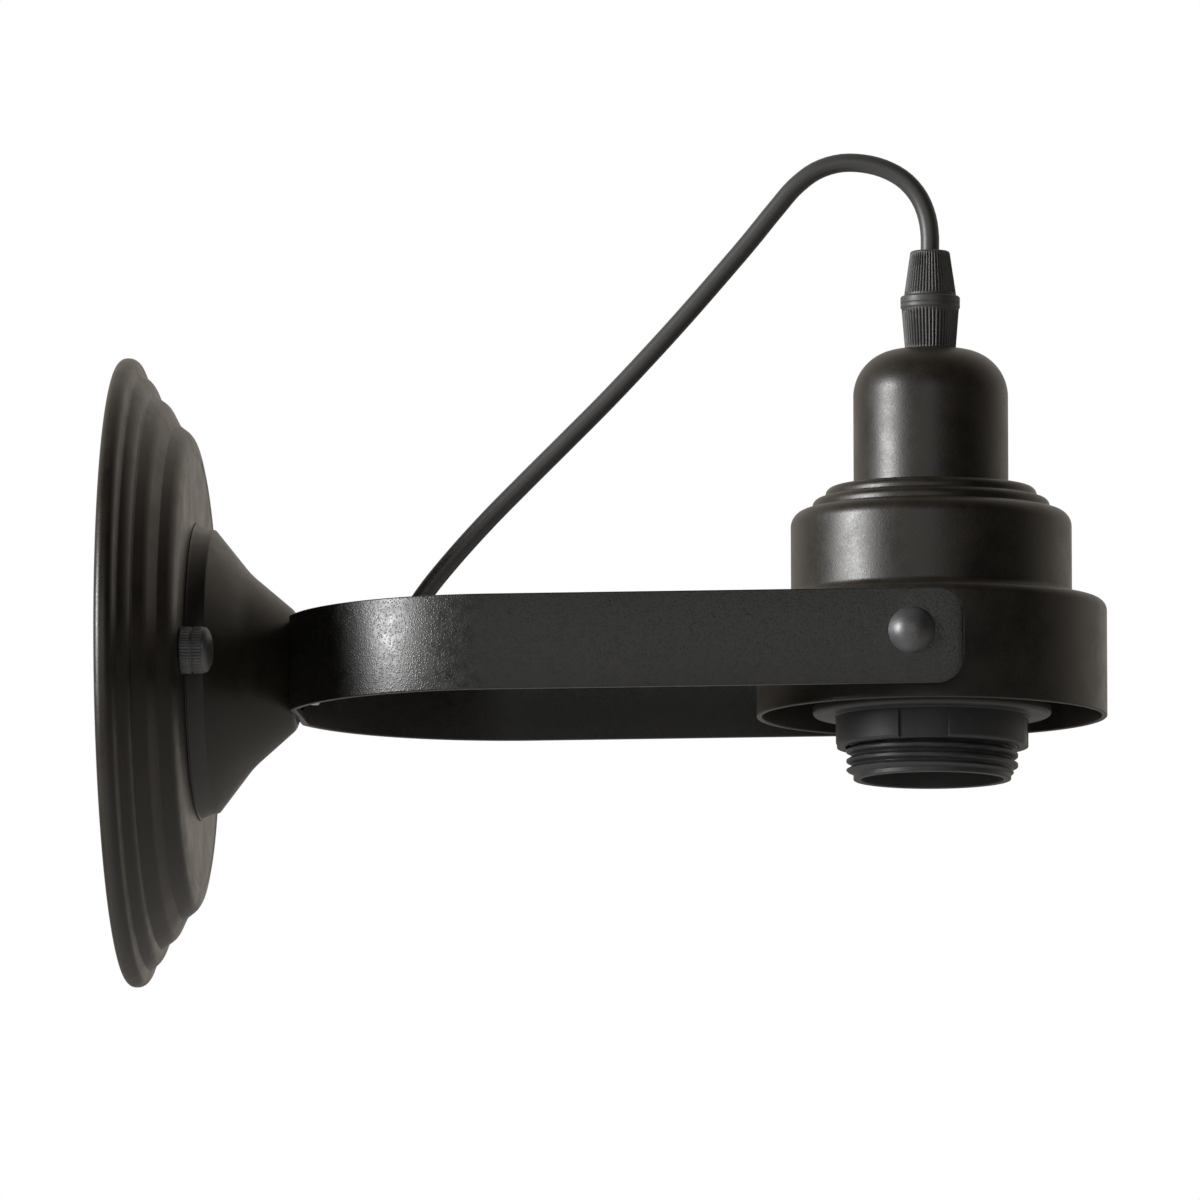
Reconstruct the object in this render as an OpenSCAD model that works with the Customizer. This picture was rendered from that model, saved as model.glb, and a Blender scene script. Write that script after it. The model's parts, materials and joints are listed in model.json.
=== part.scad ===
// Industrial wall sconce: a stepped wall plate, a trumpet hub, a U-shaped strap arm and a
// tilting lamp cap with a screw lampholder, fed by a lead that arches over the arm.
// The wall is the plane X = 0, the arm points along +X and +Z is up. Millimetres.

/* [Wall plate] */
// Radius of the lip that lies on the wall
lip_r = 72.4; // [70.5:0.1:80]
// Rounding of the lip's front edge
lip_round = 2.4; // [1:0.1:2.6]
// Sheet thickness of the plate
plate_wall = 1.2; // [0.8:0.1:1.5]
// Radius of the crease under the lip
crease1_r = 68.4; // [66:0.1:69.5]
// Height of that crease above the wall
crease1_x = 5; // [4.2:0.1:6]
// Radius of the second crease
crease2_r = 63.7; // [60.5:0.1:65]
// Height of the second crease
crease2_x = 7.9; // [7.2:0.1:10]
// Radius of the third crease
crease3_r = 57; // [54.5:0.1:58.5]
// Height of the third crease
crease3_x = 13.1; // [12:0.1:14.4]
// Radius of the flat centre, where its ring groove starts
disc_r = 50.6; // [49.6:0.1:52]
// Height of the flat centre above the wall
plate_depth = 17.1; // [16.6:0.1:21]
// How far the outer and inner spun rings bulge out between their creases
ring_bulge = 1.4; // [0.6:0.1:1.6]
// How far the middle ring bulges out
middle_bulge = 1; // [0.6:0.1:1.6]
// Rounding of the rings' crowns
crown_round = 5; // [2:0.5:8]
// Rounding in the creases
crease_round = 0.8; // [0.4:0.1:1.2]
// Depth of the ring groove round the flat centre
disc_groove = 0.5; // [0.2:0.1:0.8]
// Width of that groove
disc_groove_w = 2; // [1:0.1:3]

/* [Wall fixing] */
// Distance between the two bracket studs
stud_pitch = 86.2; // [82:0.1:89]
// Diameter of a stud
stud_d = 3.9; // [3:0.1:4.5]
// Diameter of a canopy nut
canopy_nut_d = 10.8; // [9:0.1:12]
// Length of a canopy nut's knurled barrel
canopy_nut_barrel = 5.3; // [4:0.1:7]
// Height of a canopy nut's domed end
canopy_nut_dome = 2.3; // [1.5:0.1:3]
// Thickness of the bracket strip
bracket_t = 1.5; // [1:0.1:2]
// Width of the bracket strip
bracket_w = 18; // [15:0.5:24]
// How far the bracket's ends stand off the wall side
bracket_rise = 3; // [2.4:0.1:4]
// Distance between the middles of the two wall screw slots
slot_pitch = 60; // [54:0.5:62]
// Width of a wall screw slot
slot_w = 4.5; // [3.5:0.1:5.5]
// Length of a wall screw slot along the bracket, past its width
slot_run = 6; // [3:0.5:7]

/* [Hub] */
// Radius of the hub's round foot
hub_base_r = 32.6; // [30:0.1:35.5]
// Height of the straight rim of that foot
hub_base_h = 4.2; // [3:0.1:6]
// Rounding of the foot's edge
hub_rim_round = 1.8; // [0.8:0.1:2.4]
// Length of the hub from the plate to its tip
hub_len = 22.9; // [21:0.1:28]
// Radius at the tip, before its edge is rounded
hub_tip_r = 13.3; // [11.5:0.1:15]
// Rounding of the tip's edge
hub_tip_round = 3.4; // [1:0.1:3.5]
// Radius of the flare where it turns from steep to slender
hub_waist_r = 22.3; // [20:0.1:24.5]
// Height of that turn above the plate
hub_waist_h = 12.4; // [11:0.1:15]
// Rounding of the flare at that turn
hub_flare_round = 21; // [12:0.5:24]
// Sheet thickness of the hub
hub_wall = 1.5; // [1:0.1:2]
// Outer diameter of the threaded tubes
tube_d = 9.9; // [9:0.1:10.4]
// Bore of the threaded tubes
tube_bore = 7; // [6:0.1:7.6]
// Width across the flats of the tube nuts
tube_nut_af = 14; // [13:0.1:15]
// Thickness of the tube nuts
tube_nut_t = 3; // [2:0.1:3.2]
// Outer radius of the hub's washers
hub_washer_r = 9.5; // [8.5:0.1:11]
// Thickness of the hub's front washer
hub_washer_t = 1; // [0.6:0.1:1.6]

/* [Arm] */
// Gap between the lamp cap's drum and each arm
arm_gap = 9.2; // [7.5:0.1:13]
// Height of the strap
strap_h = 22; // [18:0.5:26]
// Thickness of the strap
strap_t = 1.5; // [1:0.1:2.5]
// Half width of the flat that is clamped to the hub
flat_half = 14.8; // [12:0.1:18]
// Distance of the pivot from the wall
pivot_reach = 186.4; // [180:0.1:200]
// How far the strap runs past the pivot
end_margin = 12; // [9:0.5:16]
// Corner radius at the strap's ends
corner_r = 6.5; // [3:0.5:8]
// Height of the pivot above the strap's middle
pivot_rise = 1.2; // [0:0.1:3]

/* [Pivot] */
// Diameter of the pivot screws
pivot_d = 5; // [4:0.1:6]
// Diameter of their domed heads
dome_d = 12; // [10:0.5:14]
// Height of a domed head
dome_h = 4.6; // [3:0.1:5.5]
// Outer diameter of the spacer sleeves
spacer_d = 9; // [8:0.5:11]
// Width across the flats of the pivot nuts
pivot_nut_af = 8; // [7.5:0.1:9]
// Thickness of the pivot nuts
pivot_nut_t = 4; // [3:0.1:4.4]

/* [Lamp cap] */
// Radius of the open drum
drum_r = 40.3; // [38.5:0.1:43]
// Drop of the rim below the pivot
rim_drop = 14.1; // [12:0.1:17]
// Height of the open drum
drum_h = 27; // [24.5:0.1:31]
// Rounding of the drum's shoulder
drum_round = 2.6; // [1.5:0.1:4]
// Radius of the waist above the drum
waist_r = 32.3; // [31:0.1:33.5]
// Height of the waist
waist_h = 20.7; // [17.5:0.1:25]
// Rounding of the waist's shoulder
waist_round = 3.8; // [2.5:0.1:4.8]
// Radius of the lower bead
bead2_r = 27.3; // [26.4:0.1:28.5]
// Height of the lower bead
bead2_h = 2.7; // [2:0.1:3.5]
// Radius of the upper bead
bead1_r = 24.3; // [22.5:0.1:25]
// Height of the upper bead
bead1_h = 2.6; // [2.2:0.1:4]
// Rounding of the beads
bead_round = 1.8; // [1:0.1:2.2]
// Radius of the dome
dome_r = 17.8; // [16.8:0.1:19]
// Height of the dome above the upper bead
dome_rise = 31.9; // [28:0.1:37]
// Rounding of the dome's top
dome_round = 10.9; // [8:0.1:11.2]
// Sheet thickness of the cap
cap_wall = 1.2; // [0.8:0.1:1.6]

/* [Cord grip] */
// Radius of the grip where it sits on the cap
grip_foot_r = 5.85; // [5.6:0.05:6.4]
// Radius of the grip under its flange
grip_top_r = 6.6; // [6:0.05:7]
// Height of the grip's lower cone
grip_cone_h = 9.8; // [8:0.1:12]
// Radius of the flange
grip_flange_r = 6.85; // [6.7:0.05:8]
// Height of the flange
grip_flange_h = 2.6; // [2:0.1:4]
// Lower radius of the clamping nut
clamp_foot_r = 5.95; // [5.4:0.05:6.5]
// Upper radius of the clamping nut
clamp_top_r = 4.5; // [3.8:0.05:5]
// Height of the clamping nut
clamp_h = 10.5; // [8:0.1:13]

/* [Lampholder] */
// Drop of the holder's mouth below the cap's rim
holder_drop = 14.6; // [12:0.1:18]
// Outer radius of the threaded skirt
skirt_r = 19.75; // [19:0.05:20.4]
// Radius of the plain end below the thread
skirt_end_r = 18.15; // [17.6:0.05:18.6]
// Height of the plain end
skirt_end_h = 1.1; // [0.8:0.1:2]
// Length of the threaded stretch
skirt_thread_h = 20.3; // [19.5:0.1:22]
// Bore of the skirt's mouth
mouth_r = 16.4; // [15.8:0.1:16.8]
// Outer radius of the holder's cap
holder_cap_r = 21.2; // [20.6:0.1:22]
// Height of the whole holder
holder_h = 57; // [54:0.5:60]
// Bore radius of the screw shell
shell_r = 13.4; // [13.2:0.05:13.5]
// Length of the screw shell
shell_h = 20; // [18.5:0.1:20.8]
// Sheet thickness of the screw shell
shell_wall = 0.5; // [0.3:0.1:0.6]

/* [Shade ring] */
// Radius of the ring's flange
ring_flange_r = 27.45; // [25:0.05:29]
// Thickness of the flange
ring_flange_h = 2.7; // [2:0.1:3.5]
// Radius of the ring's collar
ring_collar_r = 22.5; // [21.6:0.05:23.5]
// Height of the collar
ring_collar_h = 7.2; // [6:0.1:8]
// Height of the ring's lower edge above the holder's mouth
ring_stand = 7.5; // [6.8:0.1:8]
// Depth of the four finger recesses in the collar
recess_depth = 0.6; // [0.3:0.1:1]
// Angle that each recess spans
recess_angle = 30; // [20:1:40]

/* [Lead] */
// Diameter of the lead
lead_d = 4.3; // [3.6:0.1:4.8]
// Diameter of each insulated core
core_d = 1.9; // [1.4:0.1:2]

/* [Fits] */
// Radial play of a screw or tube in its hole
hole_play = 0.1; // [0.05:0.01:0.2]
// Radial play of the turning and sliding fits
run_play = 0.08; // [0.05:0.01:0.1]
// Gap between faces that turn on each other
face_play = 0.1; // [0.05:0.01:0.2]

/* [Hidden] */

$fn = 96;
// How far a rounding's facets may cut inside its true arc
arc_sag = 0.05;
// Share of a straight run that the roundings at its two ends may use up
run_used = 0.96;
// An overrun for cutting tools
over = 1;

// Places along the hub, from the wall
hub_tip_x = plate_depth + hub_len;
strap_x = hub_tip_x + hub_washer_t;
strap_in_x = strap_x + strap_t;
rear_washer_t = 0.8;
rear_nut_x = plate_depth - plate_wall - rear_washer_t - tube_nut_t;
tube_lip = 0.4;
tube_front_x = strap_in_x + tube_nut_t + tube_lip;
tube_rear_x = rear_nut_x - tube_lip;
bush_flange_t = 0.9;
bush_flange_r = 5.6;
bush_spigot = 4;
bush_face_x = tube_front_x + bush_flange_t;
// How far the sheath comes out of the hub's tube, towards the wall
sheath_tail = 1.5;
lead_rear_x = tube_rear_x - sheath_tail;

// Arm
arm_r = drum_r + arm_gap + strap_t;
arm_w = 2 * arm_r;
bend_x = strap_x + sqrt(arm_r * arm_r - flat_half * flat_half);
strap_end_x = pivot_reach + end_margin;

// Heights of the lamp cap's parts
rim_z = pivot_rise - rim_drop;
drum_top_z = rim_z + drum_h;
waist_top_z = drum_top_z + waist_h;
bead2_top_z = waist_top_z + bead2_h;
bead1_top_z = bead2_top_z + bead1_h;
cap_top_z = bead1_top_z + dome_rise;
// Rounding in the corners where one part of the cap meets the next
step_round = 0.5;

// Heights of the cord grip and the lampholder
flange_z = cap_top_z + grip_cone_h;
clamp_z = flange_z + grip_flange_h;
clamp_top_z = clamp_z + clamp_h;
mouth_z = rim_z - holder_drop;
holder_top_z = mouth_z + holder_h;
thread_z = mouth_z + skirt_end_h;
thread_top_z = thread_z + skirt_thread_h;
ring_z = mouth_z + ring_stand;

// Inside the lampholder
holder_play = 0.2;
skirt_neck_r = skirt_end_r;
skirt_neck_h = 10.5;
skirt_wall = 1.9;
skirt_top_z = thread_top_z + skirt_neck_h;
shell_stop_h = 1.4;
shell_stand = 4.5;
shell_stop_z = mouth_z + shell_stand;
shell_lip_z = shell_stop_z + shell_stop_h;
shell_lip_w = 1.6;
carrier_z = shell_lip_z + shell_h;
contact_well = 3.6;
carrier_face_z = carrier_z + contact_well;
carrier_h = 5.8;
carrier_top_z = carrier_face_z + carrier_h;
neck_r = 8.6;
neck_h = 7;
neck_z = holder_top_z - neck_h;
contact_w = 5;
contact_t = 0.5;
contact_drop = 3.4;
terminal_x = 9.5;
terminal_d = 5;
terminal_head_h = 1.7;
terminal_shank_d = 2.9;
terminal_shank_h = 4.5;

// Tubes and nuts in the head
tube_stop_play = 0.5;
tube_end_drop = 1.4;
head_tube_z = neck_z + tube_stop_play;
head_tube_top_z = flange_z - tube_end_drop;
clamp_spigot = 3.6;
cap_washer_t = 0.8;
cap_washer_r = 7.6;
// How far the dome's inner rounding, and its facets, have dropped at the washer's edge
dome_inner_round = dome_round - cap_wall;
past_flat = max(0, cap_washer_r - (dome_r - dome_round));
dome_drop = dome_inner_round - sqrt(pow(dome_inner_round, 2) - pow(past_flat, 2)) + arc_sag * sign(past_flat);
cap_washer_z = cap_top_z - cap_wall - dome_drop - cap_washer_t;
sheath_drop = 2;
lead_head_z = neck_z - sheath_drop;

// Pivot stack, from the strap inwards
strap_in_y = arm_r - strap_t;
spacer_out_y = strap_in_y - face_play;
pivot_washer_r = 5;
pivot_washer_t = 1;
drum_in_r = drum_r - cap_wall;
pivot_washer_y = sqrt(pow(drum_in_r, 2) - pow(pivot_washer_r, 2)) - pivot_washer_t;
pivot_nut_y = pivot_washer_y - pivot_nut_t;
pivot_tail = 0.9;
head_y = arm_r + face_play;

// Bracket and terminal block
stud_y = stud_pitch / 2;
stud_end = 5.6;
// From a stud out to the bracket's end, and in to the bend where the end rises off the wall
stud_to_end = 7;
stud_to_joggle = 9;
bracket_half = stud_y + stud_to_end;
joggle_y = stud_y - stud_to_joggle;
joggle_run = 3.5;
stud_head_d = 7;
stud_head_t = 1.3;
block_y = 9.5;
block_w = 17;
block_h = 16;
block_t = 10;
block_pole = 8.5;
block_wire_d = 3;
block_well_d = 3.6;
block_screw_d = 3;
block_screw_h = 3;
block_wire_x = bracket_t + 4;
earth_y = -17;
earth_shank_d = 3.9;
earth_head_d = 7.5;
earth_head_h = 2.4;
earth_cup_d = 9;
earth_cup_t = 0.8;

// The lead's free run, in the plane Y = 0, from the bush up and over to the clamping nut
lead_route = [[bush_face_x, 0, 0], [49, 0, 0], [53.5, 0, 0.9], [58, 0, 3.2], [62, 0, 7], [66, 0, 12.5],
    [70.5, 0, 18.8], [76, 0, 25.4], [84, 0, 34.1], [93, 0, 43.1], [102.5, 0, 52.4],
    [112, 0, 61.8], [121, 0, 71.2], [129.5, 0, 80.4], [138, 0, 90], [145, 0, 98.1],
    [151, 0, 105.4], [155.5, 0, 110.5], [160.3, 0, 114], [165.5, 0, 115.6], [171, 0, 115.5],
    [176.4, 0, 114], [180.8, 0, 111.3], [184, 0, 107.4], [185.8, 0, 102.8], [186.4, 0, 98.5],
    [pivot_reach, 0, clamp_top_z]];
lead_sides = 8;
core_sides = 6;
// How far past the sheath's cut end a core's own solid starts
core_start = 0.3;
// Each core runs from the end of the sheath to its terminal
core_off = 1.05;
block_near_y = block_y + (block_w - block_pole) / 2;
block_far_y = block_near_y + block_pole;
hub_live_route = [[lead_rear_x - core_start, core_off, 0], [7.5, 1.3, 0.4], [6, 2.5, 3], [5.8, 5, 8],
    [block_wire_x, 9, 12.5], [block_wire_x, 12.5, 13.5], [block_wire_x, block_near_y, 11],
    [block_wire_x, block_near_y, 4]];
hub_neutral_route = [[lead_rear_x - core_start, -core_off, 0], [7.5, -1.2, -0.4], [6, -0.5, -3], [5.8, 3, -8],
    [block_wire_x, 10, -14], [block_wire_x, 17.5, -15.5], [block_wire_x, block_far_y, -12],
    [block_wire_x, block_far_y, -4]];

charcoal = "#2e2c2a";
zinc = "#9a9da1";
brass = "#b08d4c";
black_plastic = "#26282b";

// Flat geometry: a path is a list of [radius, height, rounding] corners
function spot(p) = [p[0], p[1]];
function unit(v) = v / norm(v);
function left_of(d) = [-d[1], d[0]];
function turned(v, a) = [v[0] * cos(a) - v[1] * sin(a), v[0] * sin(a) + v[1] * cos(a)];
function bend_at(u, v) = atan2(u[0] * v[1] - u[1] * v[0], u * v);
function reversed(list) = [for (i = [len(list) - 1:-1:0]) list[i]];
function heading(path, i) = unit(spot(path[i + 1]) - spot(path[i]));

// The length that a corner's rounding may take of the straight run to the next corner
function room(here, next) =
    run_used * norm(spot(next) - spot(here)) * here[2] / (here[2] + max(0, next[2]));

// The points of one corner, rounded as far as its straight runs allow
function corner(path, i) =
    i == 0 || i == len(path) - 1 || path[i][2] <= 0 ? [spot(path[i])] :
    let (u = heading(path, i - 1), v = heading(path, i), bend = bend_at(u, v),
        half = abs(tan(bend / 2)),
        radius = min(path[i][2], min(room(path[i], path[i - 1]), room(path[i], path[i + 1])) / half),
        start = spot(path[i]) - u * radius * half,
        centre = start + left_of(u) * sign(bend) * radius,
        steps = max(2, ceil(abs(bend) / (2 * acos(1 - arc_sag / max(radius, arc_sag))))))
    [for (k = [0:steps]) centre + turned(start - centre, bend * k / steps)];
function rounded(path) = [for (i = [0:len(path) - 1]) each corner(path, i)];

// The same path moved to its left by a sheet's thickness, with its roundings kept concentric
function inset(path, wall) = [for (i = [0:len(path) - 1])
    let (before = heading(path, max(0, i - 1)), after = heading(path, min(i, len(path) - 2)),
        side = (left_of(before) + left_of(after)) / (1 + before * after),
        rounding = path[i][2] > 0 ? max(0, path[i][2] - sign(bend_at(before, after)) * wall) : 0)
    [path[i][0] + wall * side[0], path[i][1] + wall * side[1], rounding]];

// The crown of a spun ring between two creases
function crown(a, b, share, bulge, rounding) =
    let (side = left_of(unit(spot(b) - spot(a))), p = spot(a) + (spot(b) - spot(a)) * share - side * bulge)
    [p[0], p[1], rounding];

// A tube swept along a route
function heading3(route, i) = unit(route[min(i + 1, len(route) - 1)] - route[max(i - 1, 0)]);
function ring_at(route, i, d, sides, across) =
    let (t = heading3(route, i), n = unit(cross(t, across)), b = cross(t, n))
    [for (k = [0:sides - 1]) route[i] + (n * cos(360 * k / sides) + b * sin(360 * k / sides)) * d / 2];
function tube_wall(rings, sides) = [for (i = [0:rings - 2]) for (k = [0:sides - 1])
    let (a = i * sides + k, b = i * sides + (k + 1) % sides)
    each [[a, a + sides, b], [b, a + sides, b + sides]]];
function tube_ends(rings, sides) = concat(
    [for (k = [1:sides - 2]) [0, k, k + 1]],
    [for (k = [1:sides - 2]) [(rings - 1) * sides, (rings - 1) * sides + k + 1, (rings - 1) * sides + k]]);

module swept_tube(route, d, sides, across) {
    points = [for (i = [0:len(route) - 1]) each ring_at(route, i, d, sides, across)];
    polyhedron(points, concat(tube_wall(len(route), sides), tube_ends(len(route), sides)));
}

// Sheet metal spun about Z, and a solid turned about Z
module spun(path, wall) {
    rotate_extrude()
        polygon(concat(rounded(path), reversed(rounded(inset(path, wall)))));
}

module turned_solid(path) {
    rotate_extrude()
        polygon(rounded(path));
}

// Moves a piece made along +Z so that it points along +X from the wall plate's middle
module along_x(x) {
    translate([x, 0, 0])
        rotate([0, 90, 0])
            children();
}

module at_head(z) {
    translate([pivot_reach, 0, z])
        children();
}

// Both sides of the pivot: the child is made along +Z and points outwards
module at_pivots(y) {
    for (side = [-1, 1])
        translate([pivot_reach, side * y, pivot_rise])
            rotate([-90 * side, 0, 0])
                children();
}

module tube(outer_r, inner_r, h) {
    difference() {
        cylinder(r = outer_r, h = h);
        translate([0, 0, -over])
            cylinder(r = inner_r, h = h + 2 * over);
    }
}

module hex_nut(across_flats, bore_r, h) {
    difference() {
        cylinder(d = across_flats / cos(30), h = h, $fn = 6);
        translate([0, 0, -over])
            cylinder(r = bore_r, h = h + 2 * over);
    }
}

module mounting_bracket() {
    end_x = bracket_rise + bracket_t;
    half_strip = [[0, joggle_y], [bracket_rise, joggle_y + joggle_run], [bracket_rise, bracket_half],
        [end_x, bracket_half], [end_x, joggle_y + joggle_run - bracket_t / 2],
        [bracket_t, joggle_y - bracket_t / 2]];
    color(zinc)
        difference() {
            translate([0, 0, -bracket_w / 2])
                linear_extrude(bracket_w)
                    polygon(concat(half_strip, [for (p = reversed(half_strip)) [p[0], -p[1]]]));
            for (side = [-1, 1]) {
                translate([-over, side * stud_y, 0])
                    rotate([0, 90, 0])
                        cylinder(d = stud_d + 2 * hole_play, h = end_x + 2 * over);
                translate([-over, side * slot_pitch / 2, 0])
                    rotate([0, 90, 0])
                        slot_tool(bracket_t + 2 * over);
            }
            translate([-over, earth_y, 0])
                rotate([0, 90, 0])
                    cylinder(d = earth_shank_d + 2 * hole_play, h = bracket_t + 2 * over);
        }
}

module slot_tool(h) {
    for (end = [-1, 1])
        translate([0, end * slot_run / 2, 0])
            cylinder(d = slot_w, h = h);
    translate([-slot_w / 2, -slot_run / 2, 0])
        cube([slot_w, slot_run, h]);
}

module bracket_studs() {
    color(zinc)
        for (side = [-1, 1])
            translate([bracket_rise, side * stud_y, 0])
                rotate([0, 90, 0]) {
                    translate([0, 0, -stud_head_t])
                        cylinder(d = stud_head_d, h = stud_head_t);
                    cylinder(d = stud_d, h = plate_depth + stud_end - bracket_rise);
                }
}

module earth_screw() {
    slit_w = 1;
    slit_depth = 1;
    color(brass)
        translate([bracket_t, earth_y, 0])
            rotate([0, 90, 0]) {
                translate([0, 0, -bracket_t])
                    cylinder(d = earth_shank_d, h = bracket_t + earth_cup_t);
                cylinder(d = earth_cup_d, h = earth_cup_t);
                translate([0, 0, earth_cup_t])
                    difference() {
                        cylinder(d = earth_head_d, h = earth_head_h);
                        translate([-earth_head_d, -slit_w / 2, earth_head_h - slit_depth])
                            cube([2 * earth_head_d, slit_w, slit_depth + over]);
                    }
            }
}

module terminal_block() {
    web_w = 2;
    web_drop = 3;
    color("#e8e4d8")
        difference() {
            translate([bracket_t, block_y, -block_h / 2])
                cube([block_t, block_w, block_h]);
            // The web between the poles is thinner
            translate([bracket_t + block_t - web_drop, block_y + (block_w - web_w) / 2, -block_h / 2 - over])
                cube([web_drop + over, web_w, block_h + 2 * over]);
            for (pole_y = [block_near_y, block_far_y]) {
                translate([block_wire_x, pole_y, -block_h / 2 - over])
                    cylinder(d = block_wire_d, h = block_h + 2 * over);
                for (z = [-block_h / 4, block_h / 4])
                    translate([block_wire_x, pole_y, z])
                        rotate([0, 90, 0])
                            cylinder(d = block_well_d, h = block_t);
            }
        }
}

module block_screws() {
    slit_w = 0.6;
    slit_depth = 0.8;
    above_wire = 0.2;
    color(brass)
        for (pole_y = [block_near_y, block_far_y])
            for (z = [-block_h / 4, block_h / 4])
                translate([block_wire_x + block_wire_d / 2 + above_wire, pole_y, z])
                    rotate([0, 90, 0])
                        difference() {
                            cylinder(d = block_screw_d, h = block_screw_h);
                            translate([-block_screw_d, -slit_w / 2, block_screw_h - slit_depth])
                                cube([2 * block_screw_d, slit_w, slit_depth + over]);
                        }
}

// Corners of the plate's outer face, from the wall to the hole in its middle. The lip ends a
// little lower than the first crease, and the disc's edge stands a hair above the disc.
function plate_path() =
    let (lip_step = 1.1, edge_step = 0.1,
        c1 = [crease1_r, crease1_x, crease_round], c2 = [crease2_r, crease2_x, crease_round],
        c3 = [crease3_r, crease3_x, crease_round], edge = [disc_r, plate_depth + edge_step, crease_round])
    [[lip_r, 0, 0], [lip_r, crease1_x - lip_step, lip_round],
        c1, crown(c1, c2, 0.5, ring_bulge, crown_round),
        c2, crown(c2, c3, 0.42, middle_bulge, crown_round),
        c3, crown(c3, edge, 0.5, ring_bulge, crown_round), edge,
        [disc_r - disc_groove_w / 2, plate_depth - disc_groove, crease_round / 2],
        [disc_r - disc_groove_w, plate_depth, crease_round / 2],
        [tube_d / 2 + hole_play, plate_depth, 0]];

module wall_plate() {
    color(charcoal)
        difference() {
            along_x(0)
                spun(plate_path(), plate_wall);
            for (side = [-1, 1])
                translate([plate_depth / 2, side * stud_y, 0])
                    rotate([0, 90, 0])
                        cylinder(d = stud_d + 4 * hole_play, h = plate_depth);
        }
}

module canopy_nuts() {
    groove_w = 0.5;
    groove_depth = 0.35;
    chamfer = 0.4;
    shoulder_drop = 1.2;
    shoulder_round = 2.6;
    crown_r = 4;
    stud_room = 0.3;
    nut_r = canopy_nut_d / 2;
    groove_z = canopy_nut_barrel / 2;
    top_z = canopy_nut_barrel + canopy_nut_dome;
    color(charcoal)
        for (side = [-1, 1])
            translate([plate_depth, side * stud_y, 0])
                rotate([0, 90, 0])
                    difference() {
                        turned_solid([[0, 0, 0], [nut_r - chamfer, 0, 0], [nut_r, chamfer, 0],
                            [nut_r, groove_z, 0], [nut_r - groove_depth, groove_z, 0],
                            [nut_r - groove_depth, groove_z + groove_w, 0], [nut_r, groove_z + groove_w, 0],
                            [nut_r, top_z - shoulder_drop, shoulder_round],
                            [nut_r / 2, top_z, crown_r], [0, top_z, 0]]);
                        translate([0, 0, -over])
                            cylinder(d = stud_d + 2 * hole_play, h = stud_end + stud_room + over);
                    }
}

module hub_cone() {
    color(charcoal)
        along_x(plate_depth)
            spun([[hub_base_r, 0, 0], [hub_base_r, hub_base_h, hub_rim_round],
                [hub_waist_r, hub_waist_h, hub_flare_round], [hub_tip_r, hub_len, hub_tip_round],
                [tube_d / 2 + hole_play, hub_len, 0]], hub_wall);
}

module hub_tube() {
    color(zinc)
        along_x(tube_rear_x)
            tube(tube_d / 2, tube_bore / 2, tube_front_x - tube_rear_x);
}

module hub_rear_washer() {
    color(zinc)
        along_x(plate_depth - plate_wall - rear_washer_t)
            tube(hub_washer_r, tube_d / 2 + hole_play, rear_washer_t);
}

module hub_rear_nut() {
    color(zinc)
        along_x(rear_nut_x)
            hex_nut(tube_nut_af, tube_d / 2 + hole_play / 2, tube_nut_t);
}

module hub_front_washer() {
    color(zinc)
        along_x(hub_tip_x)
            tube(hub_washer_r, tube_d / 2 + hole_play, hub_washer_t);
}

module hub_front_nut() {
    color(zinc)
        along_x(strap_in_x)
            hex_nut(tube_nut_af, tube_d / 2 + hole_play / 2, tube_nut_t);
}

module cable_bush() {
    color(black_plastic)
        along_x(tube_front_x)
            difference() {
                union() {
                    translate([0, 0, -bush_spigot])
                        cylinder(d = tube_bore - hole_play, h = bush_spigot);
                    cylinder(r = bush_flange_r, h = bush_flange_t);
                }
                translate([0, 0, -bush_spigot - over])
                    cylinder(d = lead_d + hole_play, h = bush_spigot + bush_flange_t + 2 * over);
            }
}

module arm_strap() {
    color(charcoal)
        difference() {
            intersection() {
                translate([0, 0, -strap_h / 2])
                    linear_extrude(strap_h)
                        difference() {
                            strap_plan(0);
                            strap_plan(strap_t);
                        }
                translate([0, arm_w, 0])
                    rotate([90, 0, 0])
                        linear_extrude(2 * arm_w)
                            strap_side();
            }
            translate([pivot_reach, arm_w, pivot_rise])
                rotate([90, 0, 0])
                    cylinder(d = pivot_d + 2 * run_play, h = 2 * arm_w);
            along_x(strap_x - over)
                cylinder(d = tube_d + 2 * hole_play, h = strap_t + 2 * over);
        }
}

// The U seen from above: a half circle cut off by the hub's flat, then two straight arms
module strap_plan(wall) {
    intersection() {
        union() {
            translate([bend_x, 0])
                circle(r = arm_r - wall);
            translate([bend_x, -arm_r + wall])
                square([strap_end_x - bend_x + (wall > 0 ? over : 0), arm_w - 2 * wall]);
        }
        translate([strap_x + wall, -arm_w])
            square([2 * strap_end_x, 2 * arm_w]);
    }
}

// The strap seen from the side, with round corners at its free ends
module strap_side() {
    half = strap_h / 2;
    square_x = strap_end_x - corner_r;
    translate([strap_x - over, -half])
        square([square_x - strap_x + over, strap_h]);
    translate([square_x - over, -half + corner_r])
        square([corner_r + over, strap_h - 2 * corner_r]);
    for (side = [-1, 1])
        translate([square_x, side * (half - corner_r)])
            circle(r = corner_r);
}

module hub_lead() {
    color(black_plastic)
        along_x(lead_rear_x)
            cylinder(d = lead_d, h = bush_face_x - lead_rear_x);
}

module hub_cores() {
    color("#7a4a2a") {
        swept_tube(hub_live_route, core_d, core_sides, [0, 1, -0.6]);
        swept_tube(hub_neutral_route, core_d, core_sides, [0, 1, 0.6]);
    }
}

module supply_lead() {
    color(black_plastic)
        swept_tube(lead_route, lead_d, lead_sides, [0, 1, 0]);
}

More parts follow.
